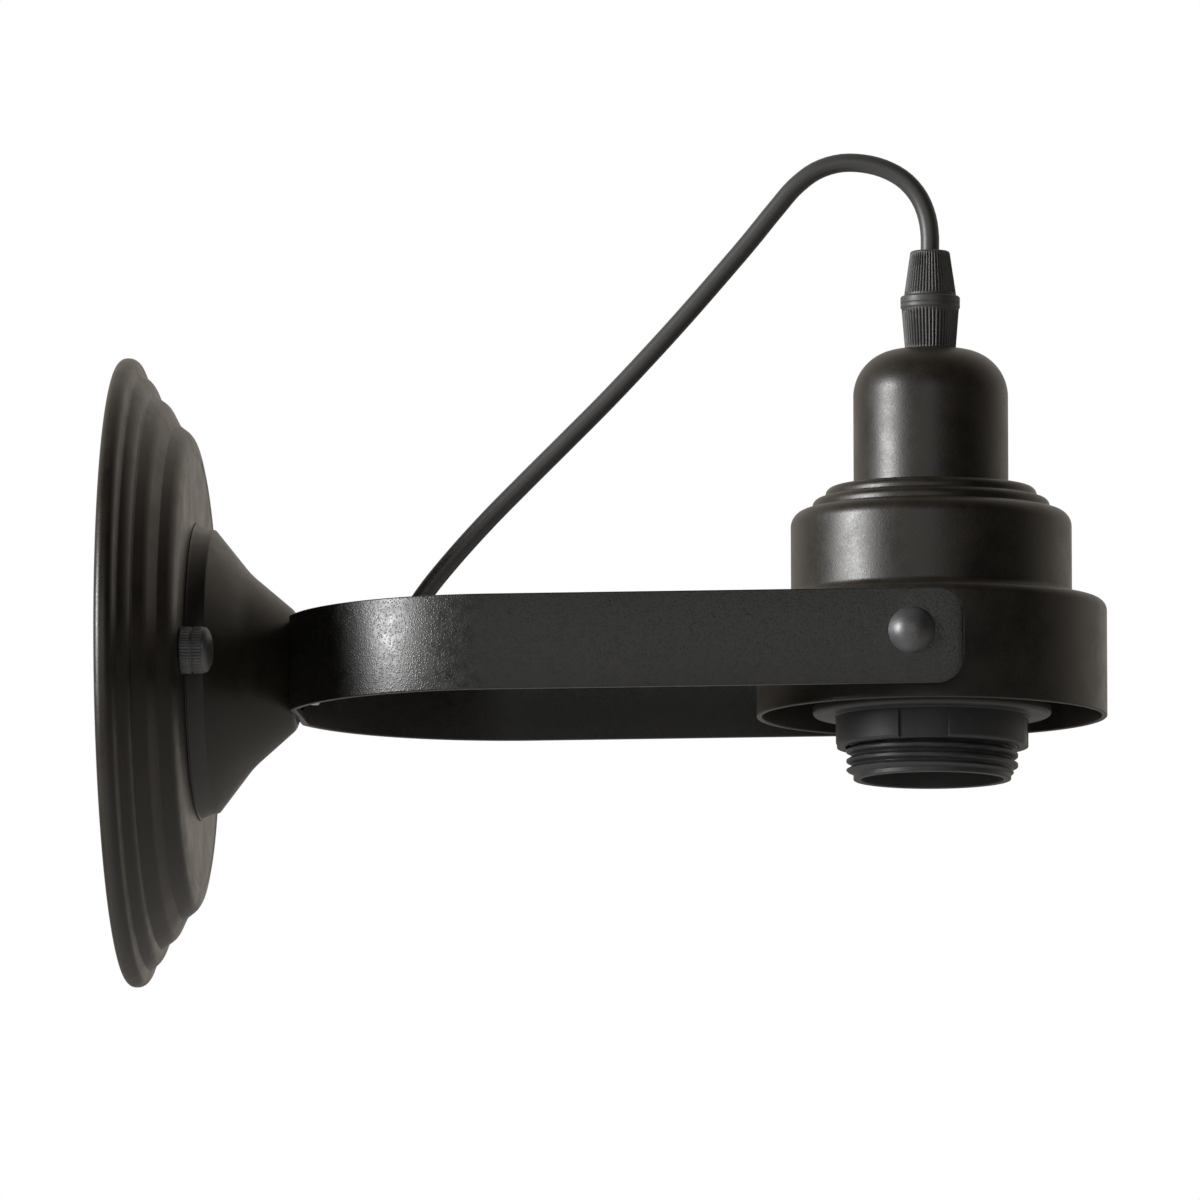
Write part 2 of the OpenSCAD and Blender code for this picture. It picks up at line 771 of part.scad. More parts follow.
// Corners of the cap's outer face, from the rim up to the hole in the dome
function cap_path() = [[drum_r, 0, 0], [drum_r, drum_h, drum_round],
    [waist_r, drum_h, step_round], [waist_r, drum_h + waist_h, waist_round],
    [bead2_r, drum_h + waist_h, step_round], [bead2_r, bead2_top_z - rim_z, bead_round],
    [bead1_r, bead2_top_z - rim_z, step_round], [bead1_r, bead1_top_z - rim_z, bead_round],
    [dome_r, bead1_top_z - rim_z, step_round], [dome_r, cap_top_z - rim_z, dome_round],
    [tube_d / 2 + hole_play, cap_top_z - rim_z, 0]];

module lamp_cap() {
    color(charcoal)
        difference() {
            at_head(rim_z)
                spun(cap_path(), cap_wall);
            translate([pivot_reach, 2 * drum_r, pivot_rise])
                rotate([90, 0, 0])
                    cylinder(d = pivot_d + 2 * hole_play, h = 4 * drum_r);
        }
}

module pivot_screws() {
    ball_r = (pow(dome_d / 2, 2) + pow(dome_h, 2)) / (2 * dome_h);
    color(charcoal)
        at_pivots(head_y)
            union() {
                intersection() {
                    translate([0, 0, dome_h - ball_r])
                        sphere(r = ball_r);
                    cylinder(d = dome_d, h = dome_h + over);
                }
                translate([0, 0, pivot_nut_y - pivot_tail - head_y])
                    cylinder(d = pivot_d, h = head_y - pivot_nut_y + pivot_tail + dome_h / 2);
            }
}

module pivot_spacers() {
    color(zinc)
        at_pivots(drum_r)
            tube(spacer_d / 2, pivot_d / 2 + hole_play, spacer_out_y - drum_r);
}

module pivot_washers() {
    color(zinc)
        at_pivots(pivot_washer_y)
            tube(pivot_washer_r, pivot_d / 2 + hole_play, pivot_washer_t);
}

module pivot_nuts() {
    color(zinc)
        at_pivots(pivot_nut_y)
            hex_nut(pivot_nut_af, pivot_d / 2 + hole_play / 2, pivot_nut_t);
}

module head_tube() {
    color(zinc)
        at_head(head_tube_z)
            tube(tube_d / 2, tube_bore / 2, head_tube_top_z - head_tube_z);
}

module cap_washer() {
    color(zinc)
        at_head(cap_washer_z)
            tube(cap_washer_r, tube_d / 2 + hole_play, cap_washer_t);
}

module cap_nut() {
    color(zinc)
        at_head(cap_washer_z - tube_nut_t)
            hex_nut(tube_nut_af, tube_d / 2 + hole_play / 2, tube_nut_t);
}

module cord_grip() {
    groove = 0.25;
    flange_neck = 0.4;
    tube_room = 0.2;
    color(black_plastic)
        at_head(cap_top_z)
            difference() {
                turned_solid([[0, 0, 0], [grip_foot_r, 0, 0], [grip_top_r, grip_cone_h - flange_neck, 0],
                    [grip_flange_r - groove, grip_cone_h, 0],
                    [grip_flange_r, grip_cone_h + groove, 0],
                    [grip_flange_r, grip_cone_h + grip_flange_h - groove, 0],
                    [grip_flange_r - groove, grip_cone_h + grip_flange_h, 0],
                    [0, grip_cone_h + grip_flange_h, 0]]);
                translate([0, 0, -over])
                    cylinder(d = tube_d + hole_play, h = head_tube_top_z - cap_top_z + tube_room + over);
                cylinder(d = tube_bore + 2 * hole_play, h = grip_cone_h + grip_flange_h + over);
            }
}

module grip_clamp_nut() {
    foot_h = 0.6;
    foot_round = 0.3;
    top_round = 0.6;
    color(black_plastic)
        at_head(clamp_z)
            difference() {
                union() {
                    turned_solid([[0, 0, 0], [clamp_foot_r, 0, 0], [clamp_foot_r, foot_h, foot_round],
                        [clamp_top_r, clamp_h, top_round], [0, clamp_h, 0]]);
                    translate([0, 0, -clamp_spigot])
                        cylinder(d = tube_bore, h = clamp_spigot + over);
                }
                translate([0, 0, -clamp_spigot - over])
                    cylinder(d = lead_d + hole_play, h = clamp_spigot + clamp_h + 2 * over);
            }
}

module head_lead() {
    color(black_plastic)
        at_head(lead_head_z)
            cylinder(d = lead_d, h = clamp_top_z - lead_head_z);
}

module head_cores() {
    end_z = carrier_top_z + terminal_head_h + 0.2;
    color("#7a4a2a")
        for (side = [-1, 1])
            at_head(0)
                swept_tube([[side * core_off, 0, lead_head_z - core_start], [side * 1.2, 0, lead_head_z - 1.5],
                    [side * 3.4, 0, lead_head_z - 4], [side * 7, 0, end_z + 3.2],
                    [side * terminal_x, 0, end_z + 1.4], [side * terminal_x, 0, end_z]],
                    core_d, core_sides, [0, 1, 0]);
}

module holder_neck_nut() {
    color(zinc)
        at_head(holder_top_z)
            hex_nut(tube_nut_af, tube_d / 2 + hole_play / 2, tube_nut_t);
}

module lampholder_cap() {
    above_carrier = 3;
    side_h = carrier_top_z - thread_top_z + above_carrier;
    inner_r = skirt_neck_r + holder_play;
    cap_h = holder_top_z - thread_top_z;
    neck_foot = cap_h - neck_h;
    shoulder_round = 3;
    neck_flare = 1;
    roof_t = 0.5;
    color(black_plastic)
        at_head(thread_top_z)
            difference() {
                turned_solid([[inner_r, holder_play, 0], [holder_cap_r, holder_play, 0],
                    [holder_cap_r, side_h, shoulder_round],
                    [neck_r + neck_flare, neck_foot - 1.5 * neck_flare, shoulder_round],
                    [neck_r, neck_foot + neck_flare, neck_flare], [neck_r, cap_h, 0],
                    [0, cap_h, 0], [0, neck_foot - roof_t, 0],
                    [neck_r - neck_flare, neck_foot - roof_t - 0.7 * neck_flare, 0],
                    [inner_r, side_h - neck_flare, shoulder_round - neck_flare]]);
                cylinder(d = tube_d + hole_play, h = cap_h + over);
            }
}

module lampholder_skirt() {
    shell_room = 0.6;
    lip_in_r = shell_r + shell_wall + shell_room;
    color(black_plastic)
        at_head(mouth_z)
            difference() {
                union() {
                    cylinder(r = skirt_end_r, h = skirt_end_h + over);
                    translate([0, 0, skirt_end_h])
                        cylinder(r = skirt_r, h = skirt_thread_h);
                    translate([0, 0, skirt_end_h + skirt_thread_h])
                        cylinder(r = skirt_neck_r, h = skirt_neck_h);
                }
                translate([0, 0, -over])
                    cylinder(r = mouth_r, h = shell_stop_z - mouth_z + over);
                translate([0, 0, shell_lip_z - mouth_z])
                    cylinder(r = skirt_neck_r - skirt_wall, h = holder_h);
                cylinder(r = lip_in_r, h = holder_h);
            }
}

module contact_carrier() {
    seat_r = shell_r + shell_wall;
    carrier_rim_w = 2.2;
    edge_round = 0.8;
    screw_room = 0.3;
    color("#d9d4c6")
        at_head(carrier_z)
            difference() {
                turned_solid([[0, 0, 0], [seat_r, 0, 0], [seat_r, contact_well, 0],
                    [skirt_neck_r - skirt_wall - holder_play, contact_well, 0],
                    [skirt_neck_r - skirt_wall - holder_play, skirt_top_z - carrier_z, 0],
                    [skirt_neck_r, skirt_top_z - carrier_z, 0],
                    [skirt_neck_r, carrier_top_z - carrier_z, edge_round], [0, carrier_top_z - carrier_z, 0]]);
                translate([0, 0, -over])
                    cylinder(r = seat_r - carrier_rim_w, h = contact_well + over);
                for (side = [-1, 1])
                    translate([side * terminal_x, 0, carrier_top_z - carrier_z - terminal_shank_h - screw_room])
                        cylinder(d = terminal_shank_d + hole_play, h = terminal_shank_h + over);
            }
}

module screw_shell() {
    outer_r = shell_r + shell_wall;
    color("#c9ccd0")
        at_head(shell_lip_z)
            difference() {
                union() {
                    cylinder(r = outer_r, h = shell_h);
                    cylinder(r = outer_r + shell_lip_w, h = shell_wall);
                }
                translate([0, 0, -over])
                    cylinder(r = shell_r, h = shell_h + 2 * over);
            }
}

module centre_contact() {
    foot = 8;
    color(brass)
        at_head(carrier_face_z)
            translate([0, contact_w / 2, 0])
                rotate([90, 0, 0])
                    linear_extrude(contact_w)
                        polygon([[-foot, 0], [-foot, -contact_t], [-foot / 2, -contact_t],
                            [-1.5, -contact_drop], [3, -contact_drop], [3, -contact_drop + contact_t],
                            [-1.2, -contact_drop + contact_t], [-foot / 2 + 0.4, 0]]);
}

module holder_screws() {
    slit_w = 0.7;
    slit_depth = 0.7;
    color(brass)
        at_head(carrier_top_z)
            for (side = [-1, 1])
                translate([side * terminal_x, 0, 0])
                    difference() {
                        union() {
                            cylinder(d = terminal_d, h = terminal_head_h);
                            translate([0, 0, -terminal_shank_h])
                                cylinder(d = terminal_shank_d, h = terminal_shank_h + terminal_head_h / 2);
                        }
                        translate([-terminal_d, -slit_w / 2, terminal_head_h - slit_depth])
                            cube([2 * terminal_d, slit_w, slit_depth + over]);
                    }
}

module shade_ring() {
    recess_r = ring_collar_r - recess_depth;
    collar_edge = 0.8;
    inner_corner = 0.3;
    flange_under = 1.1;
    flange_over = 0.8;
    color(black_plastic)
        at_head(ring_z)
            difference() {
                turned_solid([[skirt_r + run_play, 0, 0], [ring_collar_r, 0, collar_edge],
                    [ring_collar_r, ring_collar_h, inner_corner], [ring_flange_r, ring_collar_h, flange_under],
                    [ring_flange_r, ring_collar_h + ring_flange_h, flange_over],
                    [skirt_r + run_play, ring_collar_h + ring_flange_h, 0]]);
                for (quarter = [0:3])
                    rotate([0, 0, 90 * quarter])
                        recess_tool(recess_r);
            }
}

// A shallow sector that thins the collar over one recess
module recess_tool(inner_r) {
    reach = ring_collar_r + over;
    half = recess_angle / 2;
    top_margin = 0.6;
    intersection() {
        translate([0, 0, -over])
            tube(reach, inner_r, ring_collar_h - top_margin + over);
        translate([0, 0, -over])
            linear_extrude(ring_collar_h + over)
                polygon([[0, 0], [2 * reach * cos(half), -2 * reach * sin(half)],
                    [2 * reach * cos(half), 2 * reach * sin(half)]]);
    }
}

mounting_bracket();
bracket_studs();
earth_screw();
terminal_block();
block_screws();
wall_plate();
canopy_nuts();
hub_cone();
hub_tube();
hub_rear_washer();
hub_rear_nut();
hub_front_washer();
hub_front_nut();
cable_bush();
arm_strap();
hub_lead();
hub_cores();
supply_lead();
lamp_cap();
pivot_screws();
pivot_spacers();
pivot_washers();
pivot_nuts();
head_tube();
cap_washer();
cap_nut();
cord_grip();
grip_clamp_nut();
head_lead();
head_cores();
holder_neck_nut();
lampholder_cap();
lampholder_skirt();
contact_carrier();
screw_shell();
centre_contact();
holder_screws();
shade_ring();
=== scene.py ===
import json
import math

import bmesh
import bpy
from mathutils import Matrix, Vector


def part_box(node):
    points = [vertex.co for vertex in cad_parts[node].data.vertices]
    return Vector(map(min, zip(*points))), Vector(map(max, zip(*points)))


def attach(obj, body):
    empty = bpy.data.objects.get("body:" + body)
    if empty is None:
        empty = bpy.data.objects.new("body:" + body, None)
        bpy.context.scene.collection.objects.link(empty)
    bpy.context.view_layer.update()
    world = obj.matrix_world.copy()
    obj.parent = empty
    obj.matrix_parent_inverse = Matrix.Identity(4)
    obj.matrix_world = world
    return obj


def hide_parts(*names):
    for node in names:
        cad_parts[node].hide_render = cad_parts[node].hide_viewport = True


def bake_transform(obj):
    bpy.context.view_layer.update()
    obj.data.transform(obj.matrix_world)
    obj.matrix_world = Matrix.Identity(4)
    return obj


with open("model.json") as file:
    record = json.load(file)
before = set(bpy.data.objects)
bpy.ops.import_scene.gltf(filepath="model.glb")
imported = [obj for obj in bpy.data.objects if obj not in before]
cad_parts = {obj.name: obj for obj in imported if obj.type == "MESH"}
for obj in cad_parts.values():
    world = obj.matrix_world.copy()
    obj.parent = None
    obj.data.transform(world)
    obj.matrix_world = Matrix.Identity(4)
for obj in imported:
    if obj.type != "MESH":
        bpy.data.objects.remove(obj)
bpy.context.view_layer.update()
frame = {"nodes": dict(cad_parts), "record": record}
cadNodes = frame["nodes"]
bodyOf = {node: body for body, members in frame["record"]["behaviour"]["bodies"].items() for node in members}
mm = 0.001
print("frame loaded:", len(cadNodes), "nodes")


def addObject(name, data):
    thing = bpy.data.objects.new(name, data)
    bpy.context.scene.collection.objects.link(thing)
    return thing


# camera: nearly side on, a little below the arm, with a long lens

view = {
    "target": (109.9, 0, 15.3),   # the middle of the picture, mm
    "azimuth": 5.3,       # degrees round towards the lamp
    "elevation": -6.75,   # degrees, seen from below
    "roll": 0.22,         # degrees anticlockwise
    "distance": 12000,    # mm
    "frameWidth": 275.9,  # mm across the picture at the target
    "sensor": 36,         # mm
    "farClip": 60,        # m
}


def addCamera(look):
    a, e, r = (math.radians(look[key]) for key in ("azimuth", "elevation", "roll"))
    back = Vector((math.sin(a) * math.cos(e), -math.cos(a) * math.cos(e), math.sin(e)))
    right = Vector((math.cos(a), math.sin(a), 0))
    up = back.cross(right)
    rolledRight = right * math.cos(r) - up * math.sin(r)
    rolledUp = up * math.cos(r) + right * math.sin(r)
    data = bpy.data.cameras.new("camera")
    data.sensor_width = look["sensor"]
    data.lens = look["sensor"] * look["distance"] / look["frameWidth"]
    data.clip_end = look["farClip"]
    camera = addObject("camera", data)
    place = Vector(look["target"]) * mm + back * look["distance"] * mm
    camera.matrix_world = Matrix((rolledRight, rolledUp, back)).transposed().to_4x4()
    camera.matrix_world.translation = place
    bpy.context.scene.camera = camera


addCamera(view)
print("camera placed")


# flat outlines: a path is a list of (radius, height, rounding) corners, in mm

cornerShare = 0.96   # of a straight run, for the roundings at its two ends


def turnBetween(before, after):
    return math.atan2(before.x * after.y - before.y * after.x, before.dot(after))


def roundCorners(path, closed=False, sag=0.004):
    # each corner's rounding takes its own share of the straight runs beside it
    points = []
    count = len(path)

    def room(here, other):
        run = (Vector(other[:2]) - Vector(here[:2])).length
        return cornerShare * run * here[2] / (here[2] + max(0, other[2]))

    for i, (x, y, rounding) in enumerate(path):
        here = Vector((x, y))
        if rounding <= 0 or (not closed and i in (0, count - 1)):
            points.append(here)
            continue
        before = here - Vector(path[i - 1][:2])
        after = Vector(path[(i + 1) % count][:2]) - here
        u, v = before.normalized(), after.normalized()
        bend = turnBetween(u, v)
        half = abs(math.tan(bend / 2))
        if half < 1e-4:
            points.append(here)
            continue
        space = min(room(path[i], path[i - 1]), room(path[i], path[(i + 1) % count]))
        radius = min(rounding, space / half)
        start = here - u * radius * half
        centre = start + Vector((-u.y, u.x)) * math.copysign(radius, bend)
        steps = max(3, math.ceil(abs(bend) / (2 * math.acos(1 - sag / max(radius, sag)))))
        for k in range(steps + 1):
            turned = (start - centre).copy()
            turned.rotate(Matrix.Rotation(bend * k / steps, 2))
            points.append(centre + turned)
    return points


def insetPath(path, wall):
    moved = []
    for i, (x, y, rounding) in enumerate(path):
        first, last = max(0, i - 1), min(i, len(path) - 2)
        before = (Vector(path[first + 1][:2]) - Vector(path[first][:2])).normalized()
        after = (Vector(path[last + 1][:2]) - Vector(path[last][:2])).normalized()
        side = (Vector((-before.y, before.x)) + Vector((-after.y, after.x))) / (1 + before.dot(after))
        inner = max(0, rounding - math.copysign(wall, turnBetween(before, after))) if rounding else 0
        moved.append((x + wall * side.x, y + wall * side.y, inner))
    return moved


def shellLoop(path, wall, edge):
    # both faces of a spun sheet as one closed loop, with its two cut edges broken by a small rounding
    inner = insetPath(path, wall)
    loop = list(path) + inner[::-1]
    for i in (0, len(path) - 1, len(path), len(loop) - 1):
        loop[i] = (loop[i][0], loop[i][1], edge)
    return roundCorners(loop, closed=True)


def refine(outline, longest, where):
    # extra points on the long runs of a closed outline
    result = []
    for i, point in enumerate(outline):
        following = outline[(i + 1) % len(outline)]
        result.append(point)
        pieces = math.ceil((following - point).length / longest)
        if pieces > 1 and where((point + following) / 2):
            result += [point.lerp(following, k / pieces) for k in range(1, pieces)]
    return result


def fadeIn(height, foot, footRun, top, topRun):
    # 1 between two heights, and fading to 0 at each over a short run
    return min(1, max(0, (height - foot) / footRun), max(0, (top - height) / topRun))


# meshes

sharpAngle = 40   # degrees between two faces, above which their edge looks sharp


def addMesh(name, mesh, sharp, change=None):
    built = bmesh.new()
    built.from_mesh(mesh)
    bmesh.ops.remove_doubles(built, verts=built.verts, dist=1e-6)
    if change:
        change(built)
    bmesh.ops.recalc_face_normals(built, faces=built.faces)
    built.to_mesh(mesh)
    built.free()
    mesh.shade_smooth()
    mesh.set_sharp_from_angle(angle=math.radians(sharp))
    return addObject(name, mesh)


def addPiece(name, points, faces, sharp=sharpAngle):
    mesh = bpy.data.meshes.new(name)
    mesh.from_pydata([Vector(p) * mm for p in points], [], faces)
    mesh.validate()
    return addMesh(name, mesh, sharp)


def evenAngles(steps):
    return [2 * math.pi * k / steps for k in range(steps)]


def ringFaces(rings, perRing, around=True, closed=True):
    # four-sided faces between each ring of points and the next
    faces = []
    for i in range(rings if around else rings - 1):
        beyond = (i + 1) % rings
        for k in range(perRing if closed else perRing - 1):
            after = (k + 1) % perRing
            corners = ((i, k), (beyond, k), (beyond, after), (i, after))
            faces.append(tuple(ring * perRing + place for ring, place in corners))
    return faces


def barFaces(points, perRing):
    # the faces of a bar from its rings of points, with a flat face on each end
    ends = [tuple(range(perRing)), tuple(range(len(points) - perRing, len(points)))[::-1]]
    return ringFaces(len(points) // perRing, perRing, around=False) + ends


def turnedGrid(outline, angles, closed=True, ripple=None):
    # an outline turned about Z; ripple(angle, radius, height) gives each point its own radius
    points = []
    for angle in angles:
        for radius, height in outline:
            r = ripple(angle, radius, height) if ripple else radius
            points.append(Vector((r * math.cos(angle), r * math.sin(angle), height)))
    return points, ringFaces(len(angles), len(outline), closed=closed)


def joinGrids(grids):
    points, faces = [], []
    for gridPoints, gridFaces in grids:
        start = len(points)
        points += gridPoints
        faces += [tuple(start + i for i in face) for face in gridFaces]
    return points, faces


def placed(grid, matrix):
    points, faces = grid
    return [matrix @ p for p in points], faces


def alongX(x, y=0):
    # a shape made along Z then points out of the wall
    return Matrix.Translation((x, y, 0)) @ Matrix.Rotation(math.radians(90), 4, "Y")


def atHead(z):
    return Matrix.Translation((pivotReach, 0, z))


def atPivot(side, y):
    turn = Matrix.Rotation(math.radians(-90 * side), 4, "X")
    return Matrix.Translation((pivotReach, side * y, pivotRise)) @ turn


def borer(radius, length, matrix):
    # a short-lived cutting tool along its own Z, centred on the given place
    half, steps = length / 2, 64
    outline = [Vector(p) for p in ((0, -half), (radius, -half), (radius, half), (0, half))]
    return placed(turnedGrid(outline, evenAngles(steps), closed=False), matrix)


def drill(piece, tools):
    cutter = addPiece("cutter", *joinGrids(tools))
    cut = piece.modifiers.new("holes", "BOOLEAN")
    cut.object = cutter
    cut.operation = "DIFFERENCE"
    cut.solver = "EXACT"
    drilled = piece.evaluated_get(bpy.context.evaluated_depsgraph_get())
    cutMesh = bpy.data.meshes.new_from_object(drilled)
    piece.modifiers.clear()
    piece.data = cutMesh
    piece.data.set_sharp_from_angle(angle=math.radians(sharpAngle))
    bpy.data.objects.remove(cutter)


def dress(piece, finish, node):
    piece.data.materials.clear()
    piece.data.materials.append(materials[finish])
    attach(piece, bodyOf[node])
    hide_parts(node)


def addDressed(name, grids, finish, node, sharp=sharpAngle):
    dress(addPiece(name, *joinGrids(grids), sharp=sharp), finish, node)


def repaint(finish, *nodes):
    for node in nodes:
        for slot in cadNodes[node].material_slots:
            slot.material = materials[finish]


# places that several pieces share, from the frame, mm

def low(node):
    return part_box(node)[0] / mm


def high(node):
    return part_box(node)[1] / mm


plateDepth = low("canopy_nuts").x
hubTip = low("hub_front_washer").x
studPitch = 2 * (high("canopy_nuts").y - high("canopy_nuts").z)
pivotReach = (low("lamp_cap").x + high("lamp_cap").x) / 2
pivotRise = (low("pivot_screws").z + high("pivot_screws").z) / 2
rimHeight = low("lamp_cap").z
capTop = high("lamp_cap").z
clampTop = high("grip_clamp_nut").z
mouthHeight = low("lampholder_skirt").z
tubeHole = 5.05       # radius of the holes that a threaded tube passes
pivotNutHeight = 4


# shader node groups

def colour(code):
    channels = [int(code[i:i + 2], 16) / 255 for i in (1, 3, 5)]
    linear = [c / 12.92 if c <= 0.04045 else ((c + 0.055) / 1.055) ** 2.4 for c in channels]
    return (*linear, 1)


def feed(tree, node, inputs):
    # a socket is linked, and a plain value is set
    for key, value in inputs.items():
        if isinstance(value, bpy.types.NodeSocket):
            tree.links.new(value, node.inputs[key])
        else:
            node.inputs[key].default_value = value


def addNode(tree, kind, inputs=None, **settings):
    node = tree.nodes.new("ShaderNode" + kind)
    for key, value in settings.items():
        setattr(node, key, value)
    feed(tree, node, inputs or {})
    return node


def newGroup(name, inputs, outputs):
    group = bpy.data.node_groups.new(name, "ShaderNodeTree")
    for label, value in inputs.items():
        isColour = isinstance(value, tuple)
        socket = group.interface.new_socket(
            label, in_out="INPUT", socket_type="NodeSocketColor" if isColour else "NodeSocketFloat")
        socket.default_value = value
    for label in outputs:
        kind = "NodeSocketColor" if label == "Colour" else "NodeSocketFloat"
        group.interface.new_socket(label, in_out="OUTPUT", socket_type=kind)
    return group, group.nodes.new("NodeGroupInput").outputs, group.nodes.new("NodeGroupOutput")


def objectNoise(tree, scale, detail=2, roughness=0.5):
    where = addNode(tree, "TexCoord").outputs["Object"]
    inputs = {"Vector": where, "Scale": scale, "Detail": detail, "Roughness": roughness}
    return addNode(tree, "TexNoise", inputs).outputs["Fac"]


def spread(tree, value, fromLow, fromHigh, toLow=0.0, toHigh=1.0, kind="LINEAR"):
    inputs = {"Value": value, "From Min": fromLow, "From Max": fromHigh, "To Min": toLow, "To Max": toHigh}
    return addNode(tree, "MapRange", inputs, interpolation_type=kind).outputs["Result"]


def mathNode(tree, operation, first, second):
    return addNode(tree, "Math", {0: first, 1: second}, operation=operation).outputs[0]


def product(tree, first, second):
    return mathNode(tree, "MULTIPLY", first, second)


def mixColours(tree, factor, first, second):
    return addNode(tree, "Mix", {0: factor, 6: first, 7: second}, data_type="RGBA").outputs[2]


def mixValues(tree, factor, first, second):
    return addNode(tree, "Mix", {0: factor, 2: first, 3: second}, data_type="FLOAT").outputs[0]


# where each noise is cut off, and how the specks lie over the clouds
texture = {
    "speckScale": 14, "cloudShare": 0.68, "mottle": (0.38, 0.62), "bump": (0.1, 0.52), "edge": (0.53, 0.62),
    "patch": (0.4, 0.6), "facing": (0.2, 1), "filmScale": 130, "film": (0.35, 0.75),
}


def mottleGroup():
    # soft clouds with fine specks, in a surface's colour and in its gloss
    inputs = {"Base": (0, 0, 0, 1), "Cloud": (0, 0, 0, 1), "Cloud Scale": 60.0,
              "Roughness Low": 0.3, "Roughness High": 0.5}
    group, given, out = newGroup("mottle", inputs, ["Colour", "Roughness"])
    clouds = objectNoise(group, given["Cloud Scale"], detail=5, roughness=0.62)
    specks = objectNoise(group, product(group, given["Cloud Scale"], texture["speckScale"]), detail=3)
    share = texture["cloudShare"]
    both = mathNode(group, "ADD", product(group, clouds, share), product(group, specks, 1 - share))
    factor = spread(group, both, *texture["mottle"])
    gloss = spread(group, factor, 0, 1, given["Roughness Low"], given["Roughness High"])
    feed(group, out, {"Colour": mixColours(group, factor, given["Base"], given["Cloud"]), "Roughness": gloss})
    return group


def grainGroup():
    # the height of a surface: fine grain, and the separate round bumps of a hammered coat
    inputs = {"Grain Scale": 2500.0, "Peel Scale": 900.0, "Peel Share": 0.5}
    group, given, out = newGroup("grain", inputs, ["Height"])
    fine = objectNoise(group, given["Grain Scale"], detail=3, roughness=0.6)
    where = addNode(group, "TexCoord").outputs["Object"]
    cells = addNode(group, "TexVoronoi", {"Vector": where, "Scale": given["Peel Scale"]})
    bumps = spread(group, cells.outputs["Distance"], *texture["bump"], 1.0, 0.0, "SMOOTHSTEP")
    share = product(group, bumps, given["Peel Share"])
    rest = product(group, fine, mathNode(group, "SUBTRACT", 1.0, given["Peel Share"]))
    feed(group, out, {"Height": mathNode(group, "ADD", share, rest)})
    return group


def edgeWearAndSheenGroup():
    # edges that stand out are painted lighter, in patches: rubbed wear, and a painted highlight along the
    # edges
    inputs = {"Colour": (0, 0, 0, 1), "Worn": (1, 1, 1, 1), "Amount": 0.3, "Patch Scale": 200.0}
    group, given, out = newGroup("edgeWearAndSheen", inputs, ["Colour", "Mask"])
    edge = spread(group, addNode(group, "NewGeometry").outputs["Pointiness"], *texture["edge"])
    patches = spread(group, objectNoise(group, given["Patch Scale"], detail=4), *texture["patch"])
    mask = product(group, product(group, edge, patches), given["Amount"])
    feed(group, out, {"Colour": mixColours(group, mask, given["Colour"], given["Worn"]), "Mask": mask})
    return group


def dustGroup():
    # a thin film on what faces up
    inputs = {"Colour": (0, 0, 0, 1), "Dust": (1, 1, 1, 1), "Amount": 0.05}
    group, given, out = newGroup("dust", inputs, ["Colour"])
    normal = addNode(group, "NewGeometry").outputs["Normal"]
    upward = addNode(group, "SeparateXYZ", {"Vector": normal}).outputs["Z"]
    facing = spread(group, upward, *texture["facing"])
    film = spread(group, objectNoise(group, texture["filmScale"], detail=3, roughness=0.6), *texture["film"])
    mask = product(group, product(group, facing, film), given["Amount"])
    feed(group, out, {"Colour": mixColours(group, mask, given["Colour"], given["Dust"])})
    return group


groups = {"mottle": mottleGroup(), "grain": grainGroup(), "edgeWearAndSheen": edgeWearAndSheenGroup(), "dust": dustGroup()}
print("shader groups built:", ", ".join(groups))


# materials

def placeGroup(tree, name, inputs):
    return addNode(tree, "Group", inputs, node_tree=groups[name]).outputs


dustColour = "#8f8a80"

# what a finish doesn't state
# its wear amount lightens the edges in patches: rubbed wear, and a painted edge highlight
plainFinish = {"specular": 0.5, "metallic": 0, "wear": 0.3, "dust": 0.03}

